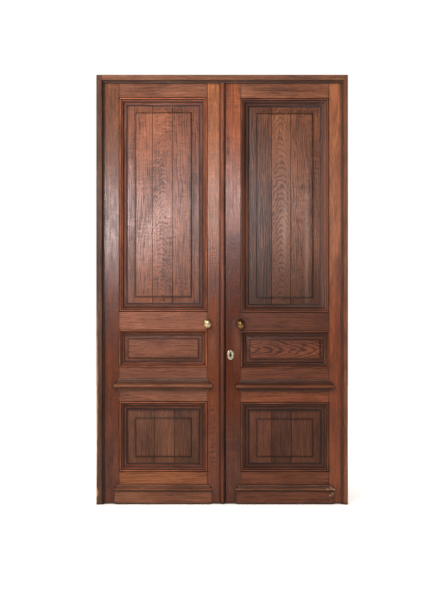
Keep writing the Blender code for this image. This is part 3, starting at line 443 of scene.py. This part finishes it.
# plinth board: painted shadow under the cap across the board's top
plinthProfile = [(0, 1.0), (60, 1.0), (65, 0.7), (69, 0.4), (75.5, 0.36)]
hollowProfile = [(0, 0.5), (4, 0.4), (9, 0.5), (13, 0.9), (17, 1.0), (44, 1.0)]
stripProfile = [(0, 0.5), (8, 0.5), (11, 0.85), (15, 1.1), (18, 1.0), (21, 0.65), (30, 0.5)]
narrowBead = [(mm * 33 / 50, 0.1 + 0.9 * amount) for mm, amount in beadProfile]  # 33 mm wide and softer
narrowField = [(33, 0.4), (37, 0.62), (42, 0.71), (47, 0.67), (50, 0.56), (54, 0.46), (58, 0.6), (61, 0.9),
               (67, 1.0)]
oakPieces = {
    "left_jamb": {"tone": "dull", "seed": 1, "shade": 0.9, "marks": [
        (-0.723, 0.60, 0.011, 0.55, 0.75, "bare"), (-0.722, 0.07, 0.014, 0.03, 0.8, "bare")]},
    "right_jamb": {"tone": "brown", "seed": 2, "shade": 1.02, "lowerTint": ((1.2, 1.12, 1.06), 0.8, 1.6)},
    "head": {"tone": "dull", "grain": "X", "seed": 3, "shade": 1.75},
    "left_hinge_stile": {"tone": "brown", "seed": 4, "rough": 0.25, "gloss": 0.42, "relief": 0.28,
        "fleck": 0.3, "lowerTint": ((0.72, 0.51, 0.42), 1.15, 1.56)},
    "left_meeting_stile": {"tone": "warm", "seed": 5, "rough": 0.25, "gloss": 0.5, "relief": 0.6,
        "fleck": 0.45, "lowerTint": ((0.48, 0.33, 0.24), 1.3, 1.7), "marks": [
        (-0.055, 0.94, 0.03, 0.17, 0.3, "wear")]},
    "left_top_rail": {"tone": "brown", "grain": "X", "seed": 6, "shade": 1.12},
    "left_lock_rail": {"tone": "rose", "grain": "X", "seed": 7, "shade": 0.9},
    "left_middle_rail": {"tone": "rose", "grain": "X", "seed": 8, "shade": 0.69,
        "lowerTint": ((1.25, 1.28, 1.3), 0.64, 0.72)},
    "left_bottom_rail": {"tone": "warm", "grain": "X", "seed": 9, "shade": 0.9},
    "left_upper_panel": {"tone": "rose", "seed": 10, "shade": 0.92, "rough": 0.29, "gloss": 0.5,
        "relief": 0.45, "ring": 0.42, "blotch": 0.5, "lean": 0.03, "lowerTint": ((0.85, 0.82, 0.8), 1.2, 1.5),
        "boards": [(-0.403, 0.5, 0.9, 0.4), (-0.288, 0.46, 0.15, 0.5), (-0.084, 0.42, 0.8, 0.3)],
        # its three marks are painted shade: a shadow under the top moulding, and darker strips down the right
        # and the left margin
        "marks": [(-0.34, 2.278, 0.26, 0.024, 0.4, "knotAndShade"), (-0.163, 1.72, 0.032, 0.62, 0.5, "knotAndShade"),
                  (-0.52, 1.72, 0.026, 0.5, 0.5, "knotAndShade")]},
    "left_middle_panel": {"tone": "rose", "grain": "X", "seed": 11, "shade": 0.76},
    "left_lower_panel": {"tone": "brown", "seed": 12, "shade": 0.78, "streak": 0.45, "boards": [
        (-0.392, 0.5, 0.7, 0.0), (-0.277, 0.58, 0.3, 0.0), (-0.084, 0.44, 0.9, 0.0)]},
    "left_upper_moulding": {"tone": "red", "seed": 13, "worn": 0.0, "shade": 1.3,
        "lowerTint": ((0.8, 0.75, 0.7), 1.1, 1.5)},
    "left_middle_moulding": {"tone": "red", "seed": 14, "worn": 0.0, "shade": 1.35},
    "left_lower_moulding": {"tone": "red", "seed": 15, "worn": 0.0, "shade": 1.2, "marks": [
        (-0.568, 0.39, 0.035, 0.26, 0.45, "knotAndShade"), (-0.112, 0.39, 0.035, 0.26, 0.35, "knotAndShade")]},
    "left_ledge": {"tone": "brown", "grain": "X", "seed": 16},
    "left_plinth_board": {"tone": "brown", "grain": "X", "seed": 17, "shade": 1.1},
    "left_plinth_cap": {"tone": "brown", "grain": "X", "seed": 18},
    "cover_strip": {"tone": "red", "seed": 19, "shade": 1.05, "lowerTint": ((0.6, 0.5, 0.42), 1.1, 1.6)},
    "right_hinge_stile": {"tone": "warm", "seed": 20, "rough": 0.36, "gloss": 0.5,
        "lowerTint": ((0.66, 0.45, 0.3), 1.0, 1.6)},
    "right_meeting_stile": {"tone": "red", "seed": 21, "shade": 1.12, "rough": 0.22, "gloss": 0.5,
        "relief": 0.5, "fleck": 0.3, "lowerTint": ((0.42, 0.28, 0.15), 1.5, 1.65), "marks": [
        (0.085, 0.93, 0.035, 0.17, 0.35, "wear"),
        (0.034, 2.105, 0.008, 0.02, 0.8, "knotAndShade"), (0.034, 2.03, 0.009, 0.022, 0.9, "knotAndShade")]},
    "right_top_rail": {"tone": "brown", "grain": "X", "seed": 22, "shade": 1.1},
    "right_lock_rail": {"tone": "red", "grain": "X", "seed": 23, "shade": 0.52},
    "right_middle_rail": {"tone": "red", "grain": "X", "seed": 24, "shade": 0.72,
        "lowerTint": ((1.65, 1.6, 1.35), 0.63, 0.71)},
    "right_bottom_rail": {"tone": "red", "grain": "X", "seed": 25, "shade": 0.72},
    "right_upper_panel": {"tone": "brown", "seed": 26, "shade": 1.05, "rough": 0.3, "gloss": 0.5,
        "relief": 0.5, "ring": 0.62, "peaks": (36, 32.0), "lean": 0.03, "streak": 0.4, "blotch": 0.3,
        "lowerTint": ((0.54, 0.5, 0.46), 1.15, 1.6),
        "boards": [(0.286, 0.24, 0.9, 0.0), (0.396, 0.55, 0.0, 0.15), (0.618, 0.46, 0.8, 0.3)],
        "marks": [(0.36, 1.6, 0.016, 0.25, 0.4, "pale"), (0.465, 1.828, 0.05, 0.02, 0.5, "knotAndShade"),
                  (0.425, 1.76, 0.022, 0.05, 0.35, "knotAndShade"), (0.487, 1.775, 0.022, 0.022, 0.35, "pale"),
                  # the mark at z 2.273 is a painted shadow under the top moulding
                  (0.362, 2.273, 0.26, 0.026, 0.5, "knotAndShade"), (0.489, 1.55, 0.016, 0.45, 0.35, "pale"),
                  (0.4, 2.17, 0.1, 0.09, 0.35, "knotAndShade")]},
    "right_middle_panel": {"tone": "red", "grain": "X", "seed": 27, "shade": 0.7,
        "quarter": 0.15, "centre": 0.89, "ring": 0.9, "peaks": (66, 60.0)},
    "right_lower_panel": {"tone": "deep", "seed": 28, "shade": 1.02, "streak": 0.45, "boards": [
        (0.286, 0.6, 0.8, 0.0), (0.401, 0.36, 0.3, 0.0), (0.618, 0.5, 0.9, 0.0)],
        "marks": [(0.557, 0.39, 0.03, 0.22, 0.35, "knotAndShade")]},
    # the two marks on this moulding are painted light on its side members
    "right_upper_moulding": {"tone": "deep", "seed": 29, "worn": 0.0, "shade": 1.15, "marks": [
        (0.595, 1.72, 0.04, 0.8, 0.5, "wear"), (0.137, 1.6, 0.03, 0.36, 0.3, "wear")]},
    "right_middle_moulding": {"tone": "deep", "seed": 30, "worn": 0.0, "shade": 1.4},
    "right_lower_moulding": {"tone": "deep", "seed": 31, "worn": 0.0, "shade": 1.3},
    "right_ledge": {"tone": "deep", "grain": "X", "seed": 32},
    "right_plinth_board": {"tone": "deep", "grain": "X", "seed": 33, "shade": 1.35, "marks": [
        (x, z, 0.009, 0.007, 0.55, "bare") for x, z in ((0.622, 0.052), (0.636, 0.062), (0.648, 0.047))]},
    "right_plinth_cap": {"tone": "dull", "grain": "X", "seed": 34, "marks": [
        (x, z, 0.011, 0.008, 0.6, "bare")
        for x, z in ((0.605, 0.086), (0.627, 0.094), (0.643, 0.086), (0.65, 0.1))]},
}
runningProfiles = {"ledge": ledgeProfile, "plinth_cap": capProfile, "plinth_board": plinthProfile}
for side in ("left", "right"):
    for rail in ("top", "lock", "middle", "bottom"):
        low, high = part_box(f"{side}_{rail}_rail")
        oakPieces[f"{side}_{rail}_rail"]["seams"] = (
            max(low.x, openings[side, "upper"][0]), min(high.x, openings[side, "upper"][1]))
    for piece, profile in runningProfiles.items():
        oakPieces[f"{side}_{piece}"].update(
            profile=profile, profileFrom=("Z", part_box(f"{side}_{piece}")[0].z, 1))
oakPieces["right_plinth_cap"]["profile"] = wornCapProfile
oakPieces["head"].update(profile=hollowProfile, profileFrom=("Z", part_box("head")[0].z, 1))
oakPieces["left_jamb"].update(profile=hollowProfile, profileFrom=("X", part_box("left_jamb")[1].x, -1))
oakPieces["right_jamb"].update(profile=hollowProfile, profileFrom=("X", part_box("right_jamb")[0].x, 1))
oakPieces["cover_strip"].update(profile=stripProfile, profileFrom=("X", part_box("cover_strip")[0].x, 1))
for (side, level), rect in openings.items():
    narrow = level == "middle"
    oakPieces[f"{side}_{level}_panel"].update(rect=rect, profile=narrowField if narrow else fieldProfile)
    oakPieces[f"{side}_{level}_moulding"].update(
        rect=rect, mitred=True, profile=narrowBead if narrow else beadProfile)


def finishPiece(name, shape, replaced, body, material, sharpDegrees):
    bmesh.ops.remove_doubles(shape, verts=shape.verts, dist=weldDistance)
    bmesh.ops.recalc_face_normals(shape, faces=shape.faces)
    mesh = bpy.data.meshes.new(name)
    shape.to_mesh(mesh)
    shape.free()
    mesh.shade_smooth()
    mesh.set_sharp_from_angle(angle=math.radians(sharpDegrees))
    mesh.materials.append(material)
    piece = bpy.data.objects.new(name, mesh)
    scene.collection.objects.link(piece)
    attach(piece, body)
    if replaced:
        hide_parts(replaced)


def cutAt(shape, x):  # adds edges where an upright plane meets the shape
    everything = shape.verts[:] + shape.edges[:] + shape.faces[:]
    bmesh.ops.bisect_plane(
        shape, geom=everything, dist=0.000001, plane_co=(x, 0.0, 0.0), plane_no=(1.0, 0.0, 0.0))


def uprightQuad(shape, rect, inset, y):  # a face in the plane of the door, looking out at the front
    x0, x1, z0, z1 = rect
    made = bmesh.ops.create_grid(shape, x_segments=1, y_segments=1, size=0.5)
    bmesh.ops.scale(shape, verts=made["verts"], vec=(x1 - x0 - 2 * inset, z1 - z0 - 2 * inset, 1.0))
    bmesh.ops.rotate(shape, verts=made["verts"], matrix=Matrix.Rotation(math.radians(90), 3, "X"))
    bmesh.ops.translate(shape, verts=made["verts"], vec=((x0 + x1) / 2, y, (z0 + z1) / 2))
    return made["verts"][0].link_faces[0]


def stepIn(shape, face, section):  # each point: m in from the edge, y
    for (u0, y0), (u1, y1) in zip(section, section[1:]):
        bmesh.ops.inset_region(
            shape, faces=[face], thickness=u1 - u0, depth=y0 - y1, use_even_offset=True, use_boundary=True)


# panel mouldings: bead, quirk, ogee and fillet, mitred at the corners
mouldingSetup = {
    "width": 0.050,
    "narrowWidth": 0.033,
    "setBack": 0.0197,  # panel's margin behind the leaf's face
    "edgeDepth": 0.0045,
    "beadDepth": 0.0025,
    "beadProud": 0.002,
    "quirkDepth": 0.006,
    "filletDepth": 0.0135,
    "beadSteps": 12,
    "ogeeSteps": 14,
    "drawnMm": 50,         # width at which the places below are given
    "beadMm": (7.5, 4.5),  # middle, half width
    "quirkMm": (12.5, 15.0),
    "ogeeMm": (15.5, 35.0),
    "ogeeCurl": 0.8,
    "filletLine": ((35.5, 0.002), (36.5, 0.0), (42.5, 0.001), (43.0, 0.003)),  # mm, m behind the fillet
    "lip": 0.0012,
    "sharpDegrees": 28,
}


def mouldingSection(setup, width):
    part = width / setup["drawnMm"]
    section = [(fit, setup["setBack"]), (fit, setup["edgeDepth"])]
    middle, half = setup["beadMm"]
    for k in range(setup["beadSteps"] + 1):
        turn = math.pi * k / setup["beadSteps"]
        depth = setup["beadDepth"] - (setup["beadDepth"] + setup["beadProud"]) * math.sin(turn)
        section.append((part * (middle - half * math.cos(turn)), depth))
    section += [(part * mm, setup["quirkDepth"]) for mm in setup["quirkMm"]]
    start, end = setup["ogeeMm"]
    fall = setup["filletDepth"] - setup["edgeDepth"]
    for k in range(setup["ogeeSteps"] + 1):
        share = k / setup["ogeeSteps"]
        wave = share - setup["ogeeCurl"] * math.sin(2 * math.pi * share) / (2 * math.pi)
        section.append((part * (start + (end - start) * share), setup["edgeDepth"] + fall * wave))
    section += [(part * mm, setup["filletDepth"] + back) for mm, back in setup["filletLine"]]
    section += [(width, setup["setBack"] - setup["lip"]), (width, setup["setBack"])]
    return [(u, leafFace + depth) for u, depth in section]


for (side, level), rect in openings.items():
    width = mouldingSetup["narrowWidth" if level == "middle" else "width"]
    section = mouldingSection(mouldingSetup, width)
    shape = bmesh.new()
    face = uprightQuad(shape, rect, *section[0])
    stepIn(shape, face, section)
    bmesh.ops.delete(shape, geom=[face], context="FACES")
    bmesh.ops.bridge_loops(shape, edges=[e for e in shape.edges if e.is_boundary])
    name = f"{side}_{level}_moulding"
    finishPiece(name + "_mitred", shape, name, side + "_leaf",
                oakMaterial(name, oakPieces[name]), mouldingSetup["sharpDegrees"])

# raised panels, glued up from boards whose joints have opened to fine grooves
panelSetup = {
    "tongue": 0.011,
    "back": 0.0127,
    "front": -0.0007,
    "margin": -0.004,       # outer end of the field's step
    "field": -0.0085,
    "step": 0.008,
    "roundSteps": 6,
    "inset": 0.092,         # from the opening's edge to the field
    "sideInset": 0.099,
    "lowerTopInset": 0.105,
    "narrowInset": 0.058,
    "grooveWidth": 0.003,
    "grooveDepth": 0.0015,
    "sharpDegrees": 20,
}
for (side, level), rect in openings.items():
    setup = panelSetup
    narrow = level == "middle"
    inset = setup["narrowInset" if narrow else "inset"]
    width = mouldingSetup["narrowWidth" if narrow else "width"]
    name = f"{side}_{level}_panel"
    section = [(-setup["tongue"], setup["back"]), (-setup["tongue"], setup["front"]), (width, setup["front"]),
               (inset - setup["step"], setup["margin"])]
    rise = setup["margin"] - setup["field"]
    for k in range(1, setup["roundSteps"] + 1):  # the step rises in a quarter round
        turn = math.pi / 2 * k / setup["roundSteps"]
        section.append((inset - setup["step"] * math.cos(turn), setup["margin"] - rise * math.sin(turn)))
    shape = bmesh.new()
    face = uprightQuad(shape, rect, *section[0])
    stepIn(shape, face, section)
    x0, x1, z0, z1 = rect
    sideways = 0.0 if narrow else setup["sideInset"] - inset
    downwards = setup["lowerTopInset"] - inset if level == "lower" else 0.0
    field = [v for v in shape.verts if v.co.y < setup["margin"] + fit]
    for way, beyond in ((sideways, False), (-sideways, True)):
        bmesh.ops.translate(shape, verts=[v for v in field if (v.co.x > (x0 + x1) / 2) == beyond],
                            vec=(way, 0.0, 0.0))
    bmesh.ops.translate(shape, verts=[v for v in field if v.co.z > (z0 + z1) / 2], vec=(0.0, 0.0, -downwards))
    look = {**oakPieces[name], "rect": (x0 + sideways, x1 - sideways, z0, z1 - downwards)}
    bmesh.ops.holes_fill(shape, edges=[e for e in shape.edges if e.is_boundary], sides=4)
    for joint in [board[0] for board in look.get("boards", [])[:-1]]:
        for x in (joint - setup["grooveWidth"] / 2, joint, joint + setup["grooveWidth"] / 2):
            cutAt(shape, x)
        for vert in shape.verts:
            if abs(vert.co.x - joint) < weldDistance / 2:
                vert.co.y += setup["grooveDepth"] if vert.co.y < setup["back"] / 2 else -setup["grooveDepth"]
    finishPiece(name + "_boards", shape, name, side + "_leaf",
                oakMaterial(name, look), setup["sharpDegrees"])

# cover strip: planted on the left leaf, it laps the meeting line and stops light and draughts
stripSetup = {"lap": 0.0055, "longRound": 0.009, "shortRound": 0.004, "roundSteps": 8, "sharpDegrees": 30}
low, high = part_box("cover_strip")
high.x += stripSetup["lap"]
shape = bmesh.new()
bmesh.ops.create_cube(shape, size=1.0, matrix=Matrix.LocRotScale((low + high) / 2, None, high - low))
for x, radius in ((low.x, stripSetup["longRound"]), (high.x, stripSetup["shortRound"])):
    nose = [e for e in shape.edges
            if all(abs(v.co.x - x) < fit and abs(v.co.y - low.y) < fit for v in e.verts)]
    bmesh.ops.bevel(shape, geom=nose, offset=radius, segments=stripSetup["roundSteps"], profile=0.5,
                    affect="EDGES", material=-1)
finishPiece("cover_strip_lapped", shape, "cover_strip", "left_leaf",
            oakMaterial("cover_strip", oakPieces["cover_strip"]), stripSetup["sharpDegrees"])

# oval knobs: cast brass on a turned collar and neck, with the spindle on the front one
knobSetup = {
    "height": 0.060,
    "width": 0.050,
    "depth": 0.041,
    "collarRadius": 0.015,
    "collarLength": 0.006,
    "neckRadius": 0.009,
    "neckLength": 0.010,
    "spindle": 0.008,
    "turns": 56,
    "ballSteps": 20,
    "collarLine": ((0.0, 0.0), (0.0, 0.0018), (-0.0006, 0.0028), (-0.0022, 0.0034)),  # past its radius, out
    "neckLine": ((0.0024, 0.0044), (0.0012, 0.0056), (0.0004, 0.0072), (0.0, 0.0095), (-0.0004, 0.0122),
                 (0.0, 0.0148)),
    "sharpDegrees": 40,
}
knobBrass = {
    "left": metalMaterial("worn_brass_left", "ead2a4", "4a3218", 0.32),    # handled, so pale and bright
    "right": metalMaterial("worn_brass_right", "94734a", "22160d", 0.3),   # tarnished to a brown gold
}


def knobProfile(setup):  # radius, distance out from the leaf
    ballStart = math.asin(2 * setup["neckRadius"] / setup["height"])
    halfDepth = setup["depth"] / (1 + math.cos(ballStart))
    neckEnd = setup["collarLength"] + setup["neckLength"]
    middle = neckEnd + halfDepth * math.cos(ballStart)
    profile = [(0.0, 0.0)]
    profile += [(setup["collarRadius"] + past, out) for past, out in setup["collarLine"]]
    profile += [(setup["neckRadius"] + past, out) for past, out in setup["neckLine"]]
    for k in range(setup["ballSteps"] + 1):
        turn = ballStart + (math.pi - ballStart) * k / setup["ballSteps"]
        profile.append((setup["height"] / 2 * math.sin(turn), middle - halfDepth * math.cos(turn)))
    return profile, neckEnd


knobOutline, neckEnd = knobProfile(knobSetup)
for side in ("left", "right"):
    for end, out in (("front", -1), ("back", 1)):
        name = f"{side}_{end}_knob"
        low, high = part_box(name)
        face = leafFace - fit if out < 0 else leafBack + fit
        x, z = (low.x + high.x) / 2, (low.z + high.z) / 2
        shape = bmesh.new()
        outline = [shape.verts.new((x + radius, face + out * along, z)) for radius, along in knobOutline]
        line = [shape.edges.new(pair) for pair in zip(outline, outline[1:])]
        bmesh.ops.spin(shape, geom=outline + line, cent=(x, 0.0, z), axis=(0.0, 1.0, 0.0),
                       dvec=(0.0, 0.0, 0.0), angle=2 * math.pi, steps=knobSetup["turns"], use_merge=True)
        bmesh.ops.remove_doubles(shape, verts=shape.verts, dist=weldDistance)
        ball = [v for v in shape.verts if (v.co.y - face) * out > neckEnd - fit]
        bmesh.ops.scale(shape, verts=ball, vec=(knobSetup["width"] / knobSetup["height"], 1.0, 1.0),
                        space=Matrix.Translation((-x, 0.0, -z)))
        if end == "front":
            thick = knobSetup["spindle"]
            start, stop = face - knobSetup["collarLength"] / 2, high.y
            bmesh.ops.create_cube(shape, size=1.0, matrix=Matrix.LocRotScale(
                Vector((x, (start + stop) / 2, z)), None, Vector((thick, stop - start, thick))))
        body = "right_knobs" if side == "right" else "left_leaf"
        finishPiece(name + "_turned", shape, name, body, knobBrass[side], knobSetup["sharpDegrees"])
print("door: mouldings, panels, strip and knobs modelled")

# finishes on the solids that stay
replacedNodes = ["cover_strip"]
replacedNodes += [f"{side}_{level}_{kind}" for side, level in openings for kind in ("panel", "moulding")]
replacedNodes += [f"{side}_{end}_knob" for side in ("left", "right") for end in ("front", "back")]
metalFinishes = {
    "brass": metalMaterial("worn_brass", "d2b27a", "3c2813", 0.3),        # warm, brown in its spots
    "iron": metalMaterial("forged_iron", "4a4540", "17130f", 0.55, 0.9),  # near black, with a dull shine
    "steel": metalMaterial("drawn_steel", "a8a49e", "4a443c", 0.35),      # grey, kept bright by sliding
}
keyhole = (0.048, 0.859, 0.0062, 0.0145)  # x, z, half width, half height
keyholeBrass = metalMaterial("rubbed_brass_plate", "f2e8cc", "0c0806", 0.26, hole=keyhole)  # polished pale
stayingSetup = {"oakArris": 0.001, "metalArris": 0.0004, "arrisDegrees": 38, "flatDegrees": 0.5}
for part in frame["record"]["subparts"]:
    name, slot = part["node"], part["material_slot"]
    if name in replacedNodes:
        continue
    nodes[name].data.materials.clear()
    if name == "keyhole_plate":
        finish = keyholeBrass
    else:
        finish = metalFinishes.get(slot) or oakMaterial(name, oakPieces[name])
    nodes[name].data.materials.append(finish)
    weld = nodes[name].modifiers.new("weld", "WELD")
    weld.merge_threshold = weldDistance
    flat = nodes[name].modifiers.new("flat", "DECIMATE")
    flat.decimate_type = "DISSOLVE"
    flat.angle_limit = math.radians(stayingSetup["flatDegrees"])
    arris = nodes[name].modifiers.new("arris", "BEVEL")  # eased by use
    arris.width = stayingSetup["metalArris" if slot in metalFinishes else "oakArris"]
    arris.segments = 2
    arris.limit_method = "ANGLE"
    arris.angle_limit = math.radians(stayingSetup["arrisDegrees"])

# slotted screws, sunk in the plates and seen when the leaves stand open
screwSetup = {
    "radius": 0.0036,
    "sides": 28,
    "slotWidth": 0.0010,
    "slotDepth": 0.0005,
    "proud": 0.0003,
    "length": 0.0015,
    "fromEnd": 0.0075,
    "turnStep": 1.9,      # radians from screw to screw, so that the slots lie anyhow
    "hingeRows": ((0.000, 0.013), (0.012, 0.035), (0.000, 0.057)),  # y, height on a hinge plate
    "hingeHalf": 0.070,
    "hingeGap": 0.0005,   # between the two halves of a hinge
    "jambGap": 0.003,     # between the leaf and the jamb
    "sharpDegrees": 30,
}


def screwHead(setup):
    shape = bmesh.new()
    bmesh.ops.create_circle(shape, cap_ends=True, segments=setup["sides"], radius=setup["radius"])
    for x in (-setup["slotWidth"] / 2, setup["slotWidth"] / 2):
        cutAt(shape, x)
    slot = [f for f in shape.faces if abs(f.calc_center_median().x) < setup["slotWidth"] / 4]
    sunk = bmesh.ops.extrude_face_region(shape, geom=slot)["geom"]
    bmesh.ops.translate(shape, verts=[v for v in sunk if isinstance(v, bmesh.types.BMVert)],
                        vec=(0.0, 0.0, -setup["slotDepth"]))
    bmesh.ops.delete(shape, geom=[f for f in slot if f.is_valid], context="FACES_ONLY")
    rim = [e for e in shape.edges if e.is_boundary]
    shank = bmesh.ops.extrude_edge_only(shape, edges=rim)["geom"]
    for vert in shank:
        if isinstance(vert, bmesh.types.BMVert):
            vert.co.z = -setup["length"]
    bmesh.ops.holes_fill(shape, edges=[e for e in shape.edges if e.is_boundary], sides=0)
    bmesh.ops.recalc_face_normals(shape, faces=shape.faces)
    mesh = bpy.data.meshes.new("screw_head")
    shape.to_mesh(mesh)
    shape.free()
    return mesh


screwPlaces = {}  # body and slot of the plate: x of its face, way it looks, y, z
for side, toward in (("left", 1), ("right", -1)):
    for level in ("bottom", "middle", "top"):
        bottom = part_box(f"{side}_{level}_hinge_socket")[0].z
        pinLow = bottom - screwSetup["hingeGap"] - screwSetup["hingeHalf"]
        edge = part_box(f"{side}_hinge_stile")[0 if side == "left" else 1].x
        jamb = edge - toward * screwSetup["jambGap"]
        for y, up in screwSetup["hingeRows"]:
            screwPlaces.setdefault((side + "_leaf", "iron"), []).append((edge, -toward, y, bottom + up))
            screwPlaces.setdefault(("frame", "iron"), []).append((jamb, toward, y, pinLow + up))
for name, side in (("lock_case", "right"), ("latch_case", "right"), ("strike_plate", "left"),
                   ("top_bolt_plate", "left"), ("bottom_bolt_plate", "left")):
    low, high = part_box(name)
    face, way = (low.x, -1) if side == "right" else (high.x, 1)
    for z in (low.z + screwSetup["fromEnd"], high.z - screwSetup["fromEnd"]):
        screwPlaces.setdefault((side + "_leaf", "brass"), []).append((face, way, 0.0, z))

template = screwHead(screwSetup)
for (body, slot), places in screwPlaces.items():
    shape = bmesh.new()
    for k, (x, way, y, z) in enumerate(places):
        before = len(shape.verts)
        shape.from_mesh(template)
        shape.verts.ensure_lookup_table()
        spot = Matrix.Translation((x + way * screwSetup["proud"], y, z))
        facing = Matrix.Rotation(way * math.radians(90), 4, "Y")
        turn = facing @ Matrix.Rotation(screwSetup["turnStep"] * k, 4, "Z")
        bmesh.ops.transform(shape, matrix=spot @ turn, verts=shape.verts[before:])
    finishPiece(f"{body}_{slot}_screws", shape, None, body, metalFinishes[slot],
                screwSetup["sharpDegrees"])
bpy.data.meshes.remove(template)
print("door: finishes and screws on")


def whiteRays(tree, behind):  # seen by the eye, through glass, and in a mirror that shows what is behind
    path = addNode(tree, "LightPath").node.outputs
    mirrored = addNode(tree, "Math", {0: path["Is Glossy Ray"], 1: behind}, operation="MULTIPLY")
    seen = addNode(tree, "Math", {0: path["Is Camera Ray"], 1: mirrored}, operation="MAXIMUM")
    seen = addNode(tree, "Math", {0: seen, 1: path["Is Transmission Ray"]}, operation="MAXIMUM")
    return seen, path["Is Glossy Ray"]


# pale floor: matt, and white to the eye away from the door, so that only a soft shadow shows
floorSetup = {
    "radius": 9.0,
    "sides": 96,
    "behind": (0.2, 0.6),      # y from which, and at which, mirrors show it white
    "glow": (0.7, 2.2, 0.45),  # m from the middle where it is dimmest and white, share at the dimmest
    "shelter": 0.1,            # no glow close under the door
    "sheltered": (0.15, 0.75),
}
floorMesh = bpy.data.meshes.new("floor")
shape = bmesh.new()
bmesh.ops.create_circle(shape, cap_ends=True, segments=floorSetup["sides"], radius=floorSetup["radius"])
shape.to_mesh(floorMesh)
shape.free()
floor = bpy.data.objects.new("floor", floorMesh)
scene.collection.objects.link(floor)
floorMaterial, tree = emptyMaterial("pale_floor")
place = addNode(tree, "TexCoord", out="Object")
depth = addNode(tree, "SeparateXYZ", {0: place}, out="Y")
start, end = floorSetup["behind"]
behind = addNode(tree, "MapRange", {0: depth, 1: start, 2: end})
seen = whiteRays(tree, behind)[0]
far = addNode(tree, "VectorMath", {0: place}, out="Value", operation="LENGTH")
near, away, dimmest = floorSetup["glow"]
amount = addNode(tree, "MapRange", {0: far, 1: near, 2: away, 3: dimmest, 4: 1.0})
shelter = addNode(tree, "AmbientOcclusion", {"Distance": floorSetup["shelter"]}, out="AO", samples=8)
closed, opened = floorSetup["sheltered"]
clear = addNode(tree, "MapRange", {0: shelter, 1: closed, 2: opened})
amount = addNode(tree, "Math", {0: amount, 1: clear}, operation="MULTIPLY")
glow = addNode(tree, "Math", {0: seen, 1: amount}, operation="MULTIPLY")
shader = addNode(tree, "BsdfPrincipled", {
    "Base Color": hexColour("f2f1ef"), "Roughness": 0.9, "Specular IOR Level": 0.1,
    "Emission Color": (1, 1, 1, 1), "Emission Strength": glow})
addNode(tree, "OutputMaterial", {"Surface": shader})
floorMesh.materials.append(floorMaterial)

# room: white behind the object, dim in front of it
roomSetup = {"fill": 0.27, "mirrored": 0.09, "tint": "fff2e6", "behind": (-0.05, 0.1)}
world = bpy.data.worlds.new("room")
scene.world = world
world.use_nodes = True
tree = world.node_tree
tree.nodes.clear()
direction = addNode(tree, "TexCoord", out="Generated")
depth = addNode(tree, "SeparateXYZ", {0: direction}, out="Y")
start, end = roomSetup["behind"]
behind = addNode(tree, "MapRange", {0: depth, 1: start, 2: end})
seen, glossy = whiteRays(tree, behind)
strength = addNode(tree, "MapRange", {0: glossy, 3: roomSetup["fill"], 4: roomSetup["mirrored"]})
dim = addNode(tree, "Background", {"Color": hexColour(roomSetup["tint"]), "Strength": strength})
white = addNode(tree, "Background", {"Color": (1, 1, 1, 1), "Strength": 1.0})
mix = addNode(tree, "MixShader", {0: seen, 1: dim, 2: white})
addNode(tree, "OutputWorld", {0: mix})

# lamps: key and side shape the mouldings, the next three lie as sheen on the wax, rear lights the back
lamps = {  # place, aim, width, height, watts, colour, shown in reflections
    "key": ((-1.2, -2.4, 4.1), (0.0, 0.0, 2.0), 2.2, 1.0, 133, "fff4e8", False),
    "side": ((-2.6, -1.7, 2.3), (0.0, 0.0, 1.7), 0.5, 1.4, 24, "fff6ec", True),
    "window": ((-0.92, -4.0, 1.92), (-0.3, 0.0, 1.6), 0.6, 0.52, 41, "f3f1f6", True),
    "pane": ((0.0, -4.0, 2.19), (0.0, 0.0, 1.7), 0.34, 0.26, 11, "f3f1f6", True),
    "sky": ((0.62, -4.0, 1.95), (0.3, 0.0, 1.6), 0.6, 0.6, 8, "f3f1f6", True),
    "rear": ((1.5, 3.5, 3.0), (0.0, 0.0, 1.2), 2.5, 2.0, 90, "fffaf2", True),
}
for name, (place, aim, width, height, watts, code, shown) in lamps.items():
    lamp = bpy.data.lights.new(name, "AREA")
    lamp.shape = "RECTANGLE"
    lamp.size, lamp.size_y = width, height
    lamp.energy = watts
    lamp.color = hexColour(code)[:3]
    lampObject = bpy.data.objects.new(name, lamp)
    lampObject.location = place
    lampObject.rotation_euler = (Vector(aim) - Vector(place)).to_track_quat("-Z", "Y").to_euler()
    lampObject.visible_camera = False
    lampObject.visible_glossy = shown
    scene.collection.objects.link(lampObject)
print("door: lit")
